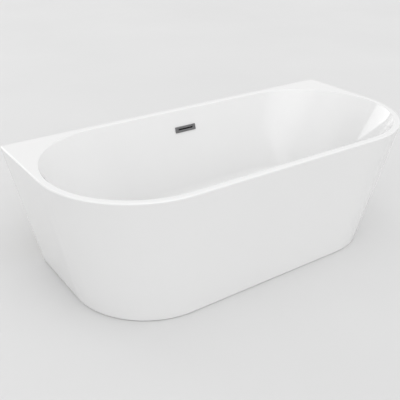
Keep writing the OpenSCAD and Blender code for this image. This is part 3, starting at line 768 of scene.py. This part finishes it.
def make_skirt(acrylic, backing):
    edge_r, edge_steps = 4 * MM, 8
    rings = []
    for sine, cosine in quarter_turn(edge_steps):
        ring = skirt_ring(SKIRT_BOTTOM + edge_r * (1 - cosine), edge_r * (1 - sine))
        rings.append([Vector((p.x, min(p.y, BACK_Y), p.z)) for p in ring])
    for z in (SKIRT_BOTTOM + 8 * MM, RIM_UNDER / 2, RIM_UNDER - 4 * MM, RIM_UNDER):
        rings.append(skirt_ring(z, 0))
    bm = bmesh.new()
    add_rings(bm, rings, cap=True)
    piece = finish_mesh("skirt", bm, [acrylic, backing], "skirt_acrylic", "outer_skirt")
    # Hollow inside, marked with the backing material
    inner_low, inner_high = SKIRT_BOTTOM + SKIRT_T, RIM_UNDER - SKIRT_T
    hollow = bmesh.new()
    add_rings(hollow, [skirt_ring(z, SKIRT_T) for z in (inner_low, inner_high)], cap=True, material=1)
    cut_with(piece, hollow)
    opening = stadium(CORNER_X, OPENING_R + 7 * MM, 0)
    cut_with(piece, extruded(opening, inner_high - MM, RIM_UNDER + MM))
    foot = skirt_ring(inner_low, SKIRT_T + RETURN_W / 2)
    cut_with(piece, extruded(foot, -MM, inner_low + MM))
    back_top = RIM_UNDER - RETURN_W
    low_half, top_half = skirt_half(0) - RETURN_W, skirt_half(back_top) - RETURN_W
    outline = [(-low_half, -MM), (low_half, -MM), (top_half, back_top), (-top_half, back_top)]
    faces = (BACK_Y + MM, BACK_Y - SKIRT_T - RETURN_W / 2 - MM)
    window = bmesh.new()
    add_rings(window, [[Vector((x, y, z)) for x, z in outline] for y in faces], cap=True)
    cut_with(piece, window)


# -------- steel frame
TUBE = 25 * MM
TUBE_WALL = 2 * MM
RAIL_Y = 150 * MM
RAIL_Z = 107 * MM
CROSS_Z = 82 * MM
RAIL_HALF = 470 * MM
CROSS_X = 400 * MM
MIDDLE_X = -160 * MM
CROSS_FRONT = -255 * MM
CROSS_BACK = 290 * MM
MIDDLE_HALF = 170 * MM
BRACKET_SCREW_Y = -236 * MM
SCREW_R = 2.5 * MM
STUD_HOLE_R = 7.5 * MM
RAIL_SCREWS = [(x * MM, y) for x in (-430, -250, 250, 430) for y in (-RAIL_Y, RAIL_Y)]
FEET = {
    "front_left": (-CROSS_X, -215 * MM),
    "front_right": (CROSS_X, -215 * MM),
    "back_left": (-CROSS_X, 262 * MM),
    "back_right": (CROSS_X, 262 * MM),
    "middle": (MIDDLE_X, 0.0),
}


def square_tube(start, end, turn, holes):
    """A square tube along its own X. Its holes are (x, radius, low, high) in its own line."""
    outer = rectangle(TUBE, TUBE, 2.6 * MM)
    inner = rectangle(TUBE - 2 * TUBE_WALL, TUBE - 2 * TUBE_WALL, 1 * MM)
    lead = 0.4 * MM
    slim = rectangle(TUBE - 2 * lead, TUBE - 2 * lead, 2.3 * MM)
    rows = [
        (slim, start), (outer, start + lead), (outer, end - lead), (slim, end), (inner, end), (inner, start)]
    bm = bmesh.new()
    add_rings(bm, [[Vector((x, y, z + TUBE / 2)) for y, z in ring] for ring, x in rows], closed=True)
    for x, r, low, high in holes:
        bm = combined(bm, moved(rod(r, low, high), at(x, 0, 0)))
    return moved(bm, turn)


def weld_bead(centre, along):
    """A scalloped bead across a tube, half sunk in the joint."""
    count, r = 16, 2.4 * MM
    side = Vector((0, 0, 1))
    across = along.cross(side)
    rings = []
    for k in range(count + 1):
        place = centre + along * (k / count - 0.5) * (TUBE - 4 * MM)
        size = r * (0.25 if k in (0, count) else 0.82 + 0.18 * (k % 2))
        rings.append([place + (side * math.sin(a) + across * math.cos(a)) * size for a in around(10)])
    bm = bmesh.new()
    add_rings(bm, rings, cap=True)
    return bm


def make_frame(steel, welds, cap_plastic):
    past = 3 * MM
    for name, y in (("front", -RAIL_Y), ("back", RAIL_Y)):
        holes = [(x, SCREW_R, -past, TUBE + past) for x, row in RAIL_SCREWS if row == y]
        tube = square_tube(-RAIL_HALF, RAIL_HALF, at(0, y, RAIL_Z), holes)
        finish_mesh("rail_" + name, tube, [steel], "frame_steel", "frame_rail_" + name)
    quarter = Matrix.Rotation(math.pi / 2, 4, "Z")
    for name, x in (("left", -CROSS_X), ("right", CROSS_X), ("middle", MIDDLE_X)):
        ends = (-MIDDLE_HALF, MIDDLE_HALF) if name == "middle" else (CROSS_FRONT, CROSS_BACK)
        holes = [(y, STUD_HOLE_R, -past, TUBE + past) for foot_x, y in FEET.values() if foot_x == x]
        if name != "middle":
            holes.append((BRACKET_SCREW_Y, SCREW_R, TUBE - TUBE_WALL - past, TUBE + past))
        tube = square_tube(*ends, at(x, 0, CROSS_Z) @ quarter, holes)
        finish_mesh("cross_" + name, tube, [steel], "frame_steel", "crossbar_" + name)
    beads = []
    for x in (-CROSS_X, MIDDLE_X, CROSS_X):
        for y in (-RAIL_Y, RAIL_Y):
            for sign in (-1, 1):
                beads.append(weld_bead(Vector((x, y + sign * TUBE / 2, RAIL_Z)), Vector((1, 0, 0))))
                beads.append(weld_bead(Vector((x + sign * TUBE / 2, y, RAIL_Z)), Vector((0, 1, 0))))
    finish_mesh("frame_welds", gathered(beads), [welds], "frame_steel", sharp=60)
    core = TUBE - 2 * TUBE_WALL
    plug = gathered([
        extruded(rectangle(TUBE, TUBE, 2.6 * MM), 0, 3 * MM, 0.8 * MM),
        extruded(rectangle(core, core, 1 * MM), -12 * MM, -0.02 * MM, 0.6 * MM),
    ])
    middle = at(0, 0, TUBE / 2)
    ends = [at(sign * RAIL_HALF, y, RAIL_Z) @ middle @ Matrix.Rotation(sign * math.pi / 2, 4, "Y")
            for sign in (-1, 1) for y in (-RAIL_Y, RAIL_Y)]
    ends += [at(x, CROSS_BACK, CROSS_Z) @ middle @ ALONG_Y for x in (-CROSS_X, CROSS_X)]
    ends += [at(x, CROSS_FRONT, CROSS_Z) @ middle @ ALONG_FRONT for x in (-CROSS_X, CROSS_X)]
    finish_mesh("end_plugs", copies(plug, ends), [cap_plastic], "end_plug_plastic", "tube_end_plugs")


# -------- feet
THREAD_PITCH = 1.75 * MM
STUD_R = 6 * MM


def threaded(r, low, high, steps=20, per_turn=5):
    """A rod with a helical thread, drawn as level rings whose radius follows the helix."""
    rings = []
    depth = 0.62 * MM
    count = round((high - low) / THREAD_PITCH * per_turn)
    for k in range(count + 1):
        z = low + (high - low) * k / count
        ends = min(k, count - k)
        ring = []
        for i, a in enumerate(around(steps)):
            phase = (z / THREAD_PITCH - i / steps) % 1
            crest = abs(2 * phase - 1)
            size = r - depth * (1 - crest) - (0.5 * MM if ends == 0 else 0)
            ring.append(Vector((size * math.cos(a), size * math.sin(a), z)))
        rings.append(ring)
    bm = bmesh.new()
    add_rings(bm, rings, cap=True)
    return bm


def hexagon_radius(across, a):
    """Distance to a hexagon's side in a direction. The corners are at multiples of 60 degrees."""
    sixth = math.pi / 3
    return across / math.cos((a % sixth) - sixth / 2)


def nut(corner_r, bore, low, high, steps=48):
    """A hexagon nut with chamfered corners. With no bore it is a solid collar."""
    across = corner_r * math.cos(math.pi / 6)
    face_r = across * 0.965

    def slope(r):
        return max(0, r - face_r) * math.tan(math.radians(28))

    def ring(size, z, chamfer=0):
        points = []
        for a in around(steps):
            r = size if size else hexagon_radius(across, a)
            points.append(Vector((r * math.cos(a), r * math.sin(a), z + chamfer * slope(r))))
        return points

    bm = bmesh.new()
    rings = [ring(face_r, low), ring(None, low, 1), ring(None, high, -1), ring(face_r, high)]
    if bore:
        lead = 0.6 * MM
        rings += [ring(bore + lead, high), ring(bore, high - lead)]
        rings += [ring(bore, low + lead), ring(bore + lead, low)]
    add_rings(bm, rings, closed=bool(bore), cap=not bore)
    return bm


def make_feet(stud_steel, nut_steel, pad_plastic):
    places = [at(x, y, 0) for x, y in FEET.values()]
    for kind, low, high in (("weld", 72 * MM, 82 * MM), ("lock", 62 * MM, 71.5 * MM)):
        nuts = copies(nut(11 * MM, STUD_R + 0.05 * MM, low, high), places)
        finish_mesh(kind + "_nuts", nuts, [nut_steel], "zinc_steel", "foot_" + kind + "_nuts", sharp=25)
    profile = [(0, 0)] + rounded([
        (0, 0), (24 * MM, 0, 1.2 * MM), (24 * MM, 5 * MM, 1.2 * MM), (11.4 * MM, 12.6 * MM, 2.5 * MM),
        (11 * MM, 16 * MM, 0.8 * MM), (6.05 * MM, 16 * MM, 0.3 * MM), (6.05 * MM, 5 * MM, 0), (0, 5 * MM),
    ], 1 * MM, steps=4, closed=False)[1:]

    def ribs(radius, z, a):
        """Eight ribs that brace the neck on the pad's sloped top."""
        on_slope = 5.2 * MM < z < 12.4 * MM and radius > 8 * MM
        return radius + (1.6 * MM * max(0.0, math.cos(8 * a)) ** 6 if on_slope else 0)

    for name, (x, y) in FEET.items():
        stud = gathered([
            threaded(STUD_R, 5.5 * MM, 20 * MM),
            nut(9 * MM, None, 20 * MM, 28 * MM),
            threaded(STUD_R, 28 * MM, 124 * MM),
        ])
        finish_mesh(
            "stud_" + name, moved(stud, at(x, y, 0)), [stud_steel], "stud_steel",
            "foot_stud_" + name, body="stud_" + name, sharp=28)
        pad = moved(turned(profile, 64, ribs), at(x, y, 0))
        finish_mesh(
            "pad_" + name, pad, [pad_plastic], "foot_plastic",
            "foot_pad_" + name, body="pad_" + name, sharp=40)


# -------- boards, blocks, brackets and screws
BLOCK_BACK = -281 * MM
BLOCK_LOW = 60 * MM
BLOCK_HIGH = 120 * MM
BRACKET_SCREW_Z = 88 * MM
BRACE_BACK = 395 * MM
BRACE_FRONT = 383 * MM
BRACE_SCREWS = [(x * MM, z * MM) for x in (-716, 716) for z in (90, 120)]


def skirt_front(z):
    return skirt_ring(z, 0)[0].y


def make_boards(chipboard, timber, ply, plating):
    board_z = 132 * MM
    outline = rectangle(960 * MM, 350 * MM, 60 * MM, steps=10)
    board = extruded(outline, board_z, board_z + 15 * MM, 0.8 * MM)
    board = combined(board, rod(48 * MM, board_z - MM, board_z + 16 * MM, 64))
    finish_mesh("support_board", board, [chipboard], "base_board", "base_board")
    bond = 6.2 * MM
    for side, sign in (("left", -1), ("right", 1)):
        x = sign * CROSS_X
        profile = [
            (skirt_front(BLOCK_LOW) + bond, BLOCK_LOW), (BLOCK_BACK, BLOCK_LOW),
            (BLOCK_BACK, BLOCK_HIGH), (skirt_front(BLOCK_HIGH) + bond, BLOCK_HIGH)]
        block = extruded(profile, x - 20 * MM, x + 20 * MM, 0.7 * MM, ALONG_X)
        finish_mesh("block_" + side, block, [timber], "block_wood", "skirt_block_" + side)
        t, fold = 3 * MM, 3.5 * MM
        leg_end = -226 * MM
        profile = rounded([
            (BLOCK_BACK, 72 * MM, 0.6 * MM), (BLOCK_BACK + t, 72 * MM, 0.6 * MM),
            (BLOCK_BACK + t, RAIL_Z, fold - t + 0.6 * MM), (leg_end, RAIL_Z, 0.6 * MM),
            (leg_end, RAIL_Z + t, 0.6 * MM), (BLOCK_BACK, RAIL_Z + t, fold)], 0.6 * MM, steps=4)
        bracket = extruded(profile, x - 15 * MM, x + 15 * MM, 0, ALONG_X)
        for place in (at(x, BLOCK_BACK, BRACKET_SCREW_Z) @ ALONG_Y, at(x, BRACKET_SCREW_Y, RAIL_Z)):
            bracket = combined(bracket, moved(rod(2.6 * MM, -MM, 4 * MM), place))
        finish_mesh(
            "bracket_" + side, bracket, [plating], "zinc_steel", "skirt_bracket_" + side)
        reach, short, back = sign * 833 * MM, sign * 743 * MM, 394 * MM
        corner = [(reach, back), (reach, 304 * MM), (short, back)]
        block = extruded(corner, 536 * MM, 566 * MM, 0.9 * MM)
        finish_mesh("gusset_" + side, block, [timber], "block_wood", "corner_block_" + side)
    low, high, half = 75 * MM, 135 * MM, 734 * MM
    profile = [(BRACE_FRONT, low), (BRACE_BACK, low), (BRACE_BACK, high), (BRACE_FRONT, high)]
    brace = extruded(profile, -half, half, 0.6 * MM, ALONG_X)
    finish_mesh("back_brace", brace, [ply], "brace_plywood", "rear_brace")


def pan_screw(length):
    """A pan-head screw with a cross recess. The underside of its head is at the origin."""
    r, head = SCREW_R, 3 * MM
    profile = rounded([
        (0, -head), (4.9 * MM, -head + 0.5 * MM, 1.8 * MM), (4.9 * MM, 0, 0.3 * MM),
        (r, 0, 0), (r, length - 3 * MM, 1 * MM), (0, length)], 0.5 * MM, steps=4, closed=False)
    recess = []
    for turn in (0, math.pi / 2):
        arm = extruded(rectangle(5 * MM, 0.9 * MM, 0.2 * MM, 1), -head - MM, -head + 1.7 * MM)
        recess.append(moved(arm, Matrix.Rotation(turn, 4, "Z")))
    cross = combined(recess[0], recess[1], "UNION")
    return combined(turned(profile, 32), cross)


def make_screws(plating):
    up = [at(x, y, RAIL_Z) for x, y in RAIL_SCREWS]
    finish_mesh("board_screws", copies(pan_screw(37 * MM), up), [plating], "zinc_steel", "rail_screws")
    t = 3 * MM
    places = [at(x, BLOCK_BACK + t, BRACKET_SCREW_Z) @ ALONG_FRONT for x in (-CROSS_X, CROSS_X)]
    down = Matrix.Rotation(math.pi, 4, "X")
    low = [at(x, BRACKET_SCREW_Y, RAIL_Z + t) @ down for x in (-CROSS_X, CROSS_X)]
    screws = gathered([copies(pan_screw(19 * MM), places), copies(pan_screw(9 * MM), low)])
    finish_mesh("block_screws", screws, [plating], "zinc_steel", "bracket_screws")
    places = [at(x, BRACE_FRONT, z) @ ALONG_Y for x, z in BRACE_SCREWS]
    finish_mesh("brace_fixings", copies(pan_screw(16 * MM), places), [plating], "zinc_steel", "brace_screws")


# -------- overflow
ON_BACK_WALL = Matrix.Translation(COVER_PLACE) @ Matrix.Rotation(-SIDE_SLOPE, 4, "X")
HOSE_R = 14 * MM
HOSE_Y = BACK_Y - 32 * MM
HOSE_TOP = COVER_PLACE.z - 34 * MM
HOSE_LEVEL = 92 * MM
HOSE_BEND_R = 60 * MM
HOSE_END_Y = 38 * MM
HOSE_DROP = HOSE_TOP - HOSE_LEVEL - HOSE_BEND_R
HOSE_CURVE = HOSE_BEND_R * math.pi / 2
COVER_SIZE = (109 * MM, 27 * MM)
SLOT_SIZE = (78 * MM, 6 * MM)
SLOT_CORNER_R = 2.5 * MM
DUCT_SIZE = (84 * MM, 18 * MM)
DUCT_T = 2 * MM
DUCT_END = 12 * MM
DUCT_GAP = 0.5 * MM
PLATE_CORNER_R = 1.5 * MM


def make_cover(plating, painted_shade_inside):
    """The cover plate, with its slot and the duct behind it, as rings from its back edge and round. The
    slot's walls and the duct's bore carry a near-black painted shade.
    """
    back, front = -1.5 * MM, -5 * MM
    edge, slot_edge = 0.9 * MM, 0.5 * MM
    edge_steps, slot_steps = 4, 3

    def grown(size, spread, corner):
        return (size[0] + 2 * spread, size[1] + 2 * spread, corner)

    rows = [(grown(COVER_SIZE, 0, PLATE_CORNER_R), back)]
    for sine, cosine in quarter_turn(edge_steps):
        inset = edge * (1 - cosine)
        plate = grown(COVER_SIZE, -inset, PLATE_CORNER_R - inset * 0.8)
        rows.append((plate, front + edge * (1 - sine)))
    for sine, cosine in quarter_turn(slot_steps):
        spread = slot_edge * (1 - sine)
        slot = grown(SLOT_SIZE, spread, SLOT_CORNER_R + spread)
        rows.append((slot, front + slot_edge * (1 - cosine)))
    slot_end = len(rows) - 1
    bore = grown(DUCT_SIZE, -DUCT_T, 0.8 * MM)
    rows += [(grown(SLOT_SIZE, 0, SLOT_CORNER_R), 0), (bore, 0), (bore, DUCT_END)]
    duct_end = len(rows) - 1
    duct = grown(DUCT_SIZE, 0, PLATE_CORNER_R)
    rows += [(duct, DUCT_END), (duct, back)]
    bm = bmesh.new()
    rings = [[Vector((x, y, z)) for x, z in rectangle(*size, steps=5)] for size, y in rows]
    verts = add_rings(bm, rings, closed=True)
    # The slot's walls and the duct's bore take the second, near-black material: painted shade for the shadow
    # inside the slot
    inside = {v for row in verts[slot_end:duct_end + 1] for v in row}
    for face in bm.faces:
        if all(v in inside for v in face.verts):
            face.material_index = 1
    finish_mesh(
        "overflow_plate", moved(bm, ON_BACK_WALL), [plating, painted_shade_inside], "cover_graphite",
        "overflow_cover", sharp=40)


def hose_place(s):
    """Point and direction along the hose, from its upper end."""
    if s < HOSE_DROP:
        return Vector((0, HOSE_Y, HOSE_TOP - s)), Vector((0, 0, -1))
    bend_y = HOSE_Y - HOSE_BEND_R
    if s < HOSE_DROP + HOSE_CURVE:
        a = (s - HOSE_DROP) / HOSE_BEND_R
        out = Vector((0, math.cos(a), -math.sin(a)))
        centre = Vector((0, bend_y, HOSE_LEVEL + HOSE_BEND_R))
        return centre + out * HOSE_BEND_R, Vector((0, -math.sin(a), -math.cos(a)))
    return Vector((0, bend_y - (s - HOSE_DROP - HOSE_CURVE), HOSE_LEVEL)), Vector((0, -1, 0))


def make_hose(plastic):
    """The corrugated hose between its two plain cuffs, with a smooth bore."""
    length = HOSE_DROP + HOSE_CURVE + HOSE_Y - HOSE_BEND_R - HOSE_END_Y
    cuff, pitch, per_pitch, steps, inner_steps = 22 * MM, 6.5 * MM, 6, 32, 48
    fold, edge, wall = 1.5 * MM, 0.5 * MM, 1.95 * MM
    across = Vector((1, 0, 0))

    def ring(s, r):
        place, along = hose_place(s)
        up = along.cross(across)
        return [place + (across * math.cos(a) + up * math.sin(a)) * r for a in around(steps)]

    count = round((length - 2 * cuff) / pitch) * per_pitch
    rings = [ring(0, HOSE_R - edge), ring(0.6 * MM, HOSE_R)]
    for k in range(count + 1):
        wave = 0.5 - 0.5 * math.cos(2 * math.pi * k / per_pitch)
        rings.append(ring(cuff + (length - 2 * cuff) * k / count, HOSE_R - fold * wave))
    rings += [ring(length - 0.6 * MM, HOSE_R), ring(length, HOSE_R - edge)]
    rings += [ring(length * (1 - k / inner_steps), HOSE_R - wall) for k in range(inner_steps + 1)]
    bm = bmesh.new()
    add_rings(bm, rings, closed=True)
    finish_mesh("hose", bm, [plastic], "hose_plastic", "overflow_hose", sharp=60)


def make_clips(plating):
    """Worm-drive clips: a slotted band with a housing and a hexagon screw."""
    r, t, w = HOSE_R, 1.2 * MM, 8 * MM
    band = turned(rounded([(r, 0), (r + t, 0), (r + t, w), (r, w)], 0.4 * MM, 2), 64)
    outline, past = rectangle(5 * MM, 11 * MM, 1.5 * MM), 0.5 * MM
    housing = extruded(outline, -past, w + past, 0.6 * MM, at(r + 3.6 * MM, 0, 0))
    screw = moved(nut(3.4 * MM, None, 0, 3.4 * MM), at(r + 4 * MM, -5.6 * MM, w / 2) @ ALONG_FRONT)
    upper = HOSE_TOP - 14 * MM
    places = [at(0, HOSE_Y, upper), at(0, HOSE_END_Y + 12 * MM, HOSE_LEVEL) @ ALONG_FRONT]
    clips = copies(gathered([band, housing, screw]), places)
    finish_mesh("clips", clips, [plating], "zinc_steel", "hose_clips", sharp=30)


# -------- waste and trap
CAP_Z = 157.8 * MM
RING_NUT_LOW = 56.5 * MM
RING_NUT_TOP = 75 * MM
OUTLET_Z = 31.5 * MM


def make_plug(plating):
    """The plug cap: a low crown with a rounded edge, bored for its stem."""
    profile = rounded([
        (0, 4 * MM), (20 * MM, 3.85 * MM, 40 * MM), (32.6 * MM, 3.0 * MM, 1.2 * MM),
        (33 * MM, 0.8 * MM, 0.8 * MM), (31.5 * MM, 0, 0.4 * MM),
        (2.5 * MM, 0, 0), (2.5 * MM, 2 * MM, 0), (0, 2 * MM),
    ], 0.5 * MM, steps=5, closed=False)
    cap = moved(turned(profile, 96), at(0, 0, CAP_Z))
    finish_mesh("plug_crown", cap, [plating], "waste_graphite", "plug_cap", body="plug")


def ribbed(count, depth, least):
    """Ripple that raises grip ribs on the points outside a radius."""
    def ripple(radius, z, a):
        return radius - depth * (0.5 + 0.5 * math.cos(count * a)) ** 3 if radius > least else radius
    return ripple


def make_trap(body_plastic, nut_plastic):
    outer, bore, neck = 51 * MM, 44.05 * MM, 30.05 * MM
    shoulder = RING_NUT_TOP - 3.5 * MM
    profile = rounded([
        (bore, RING_NUT_LOW), (outer, RING_NUT_LOW, 1.2 * MM), (outer, RING_NUT_TOP, 2 * MM),
        (neck, RING_NUT_TOP, 0.8 * MM), (neck, shoulder, 0), (bore, shoulder, 0)], 0.4 * MM, steps=3)
    ring = turned(profile, 144, ribbed(24, 1.6 * MM, outer - 1 * MM))
    finish_mesh("ring_nut", ring, [nut_plastic], "nut_plastic", "trap_ring_nut", sharp=45)
    outer, bore, neck, w = 29 * MM, 24.05 * MM, 20.3 * MM, 20 * MM
    profile = rounded([
        (bore, 0), (outer, 0, 1 * MM), (outer, w, 1.6 * MM), (neck, w, 0.6 * MM), (neck, w - 4 * MM, 0),
        (bore, w - 4 * MM, 0)], 0.4 * MM, steps=3)
    collar = turned(profile, 120, ribbed(20, 1.2 * MM, outer - 1 * MM))
    collar = moved(collar, at(0, 78 * MM, OUTLET_Z) @ ALONG_Y)
    finish_mesh("outlet_nut", collar, [nut_plastic], "nut_plastic", "trap_outlet_nut", sharp=45)
    cup_r, low, top, wall = 44 * MM, 6 * MM, 65 * MM, 3 * MM

    def lying(r, start, end):
        """A rod along the outlet."""
        return moved(rod(r, start, end, 64), at(0, 0, OUTLET_Z) @ ALONG_Y)

    def cup_form(r, floor, corner, brim, brim_r):
        outline = [(0, floor), (r, floor, corner), (r, brim, brim_r), (0, brim)]
        return turned(rounded(outline, 0, 6, closed=False), 96)

    cup = combined(cup_form(cup_r, low, 6 * MM, top, 0.5 * MM), lying(24 * MM, 0, 91 * MM), "UNION")
    cup = combined(cup, cup_form(cup_r - wall, low + wall, 4 * MM, top + MM, 0))
    cup = combined(cup, lying(18.1 * MM, 43.5 * MM, 95 * MM))
    # The way from the cup to the outlet stays open above the weir
    below = box_builder((-30 * MM, 30 * MM, 0), (30 * MM, 50 * MM, 32 * MM))
    cup = combined(cup, combined(lying(18.1 * MM, 36 * MM, 44 * MM), below))
    cup = combined(cup, lying(20.1 * MM, 62 * MM, 95 * MM))
    finish_mesh("cup", cup, [body_plastic], "body_plastic", "trap_cup", sharp=40)


# -------- stage and light
def pale_floor():
    """A plain, pale, matt floor."""
    m = Shader("floor_paint")
    tones = [(0.3, rgb(FLOOR_WHITE - 0.01)), (0.7, rgb(FLOOR_WHITE + 0.01))]
    m.colour(m.ramp(m.noise(0.7, detail=3), tones))
    m.roughness(m.spread(m.noise(5), 0.6, 0.75))
    bm = bmesh.new()
    bmesh.ops.create_grid(bm, x_segments=8, y_segments=8, size=30)
    mesh = bpy.data.meshes.new("floor")
    bm.to_mesh(mesh)
    bm.free()
    mesh.materials.append(m.material)
    floor = bpy.data.objects.new("floor", mesh)
    bpy.context.scene.collection.objects.link(floor)


FLOOR_WHITE = 0.65
WORLD_STRENGTH = 0.85

# Each soft light of the studio: name, azimuth and elevation of its middle, the angles from its middle where
# it is full and where it ends, all in degrees, and what it adds to the world's strength
SOFT_LIGHTS = [
    ("back_window", 188, 12, 15, 19, 2.2),
    ("front_high", 0, 48, 5, 45, 1.3),
    ("left_low", -90, 12, 5, 40, 0.6),
]


def make_lights():
    world = bpy.data.worlds.new("studio")
    world.use_nodes = True
    nodes, links = world.node_tree.nodes, world.node_tree.links
    background = nodes["Background"]
    background.inputs["Color"].default_value = (1, 1, 1, 1)
    ray = nodes.new("ShaderNodeTexCoord").outputs["Generated"]
    total = nodes.new("ShaderNodeMath")
    total.inputs[0].default_value = WORLD_STRENGTH
    total.inputs[1].default_value = 0
    for name, azimuth, elevation, full, end, amount in SOFT_LIGHTS:
        towards = nodes.new("ShaderNodeVectorMath")
        towards.operation = "DOT_PRODUCT"
        towards.inputs[1].default_value = heading(azimuth, elevation)
        links.new(ray, towards.inputs[0])
        fade = nodes.new("ShaderNodeMapRange")
        fade.name = name
        fade.interpolation_type = "SMOOTHSTEP"
        fade.inputs["From Min"].default_value = math.cos(math.radians(end))
        fade.inputs["From Max"].default_value = math.cos(math.radians(full))
        fade.inputs["To Min"].default_value = 0
        fade.inputs["To Max"].default_value = amount
        links.new(towards.outputs["Value"], fade.inputs["Value"])
        more = nodes.new("ShaderNodeMath")
        links.new(total.outputs["Value"], more.inputs[0])
        links.new(fade.outputs["Result"], more.inputs[1])
        total = more
    links.new(total.outputs["Value"], background.inputs["Strength"])
    bpy.context.scene.world = world
    bpy.context.scene.view_settings.view_transform = "Standard"


white_acrylic = gloss_acrylic("white_acrylic", 0.76)
fibre_backing = glass_fibre("fibre_backing")
make_basin(white_acrylic, fibre_backing)
make_skirt(white_acrylic, fibre_backing)
steel = galvanised("galvanised_steel")
plating = zinc("zinc_plating")
timber = softwood("sawn_softwood")
white_plastic = moulded("white_polypropylene", 0.74, (1, 1, 0.97))
black_rubber = rubber("black_rubber")
make_frame(steel, weld_metal("weld_metal"), moulded("black_polyethylene", 0.035))
make_feet(zinc("threaded_zinc", 0.55), plating, moulded("black_nylon", 0.045, (0.95, 0.98, 1.05)))
make_boards(particle_board("particle_board"), timber, plywood("birch_plywood"), plating)
make_screws(plating)
graphite_plating = graphite("graphite_plating")
# The cover's bore is near black: painted shade for the shadow inside the slot
make_cover(graphite_plating, moulded("painted_shade_bore", 0.012, low=0.6, high=0.8))
make_hose(moulded("hose_plastic", 0.66, (0.97, 0.99, 1.0)))
make_clips(plating)
make_plug(graphite_plating)
make_trap(white_plastic, moulded("nut_polypropylene", 0.70, (1, 1, 0.98), 0.34, 0.5))
dress(graphite_plating, "waste_flange")
dress(white_plastic, "waste_body")
# The overflow body is near black: painted shade seen through the cover's slot, not the fitting's own colour
dress(moulded("painted_shade_polypropylene", 0.03), "overflow_body")
dress(plating, "overflow_screws")
dress(brass("turned_brass"), "click_cartridge", "plug_stem")
dress(
    black_rubber, "overflow_front_gasket", "overflow_back_gasket", "waste_top_gasket",
    "waste_bottom_gasket", "plug_seal", "trap_ring_seal", "trap_outlet_seal", edge=0.25 * MM)
pale_floor()
make_lights()
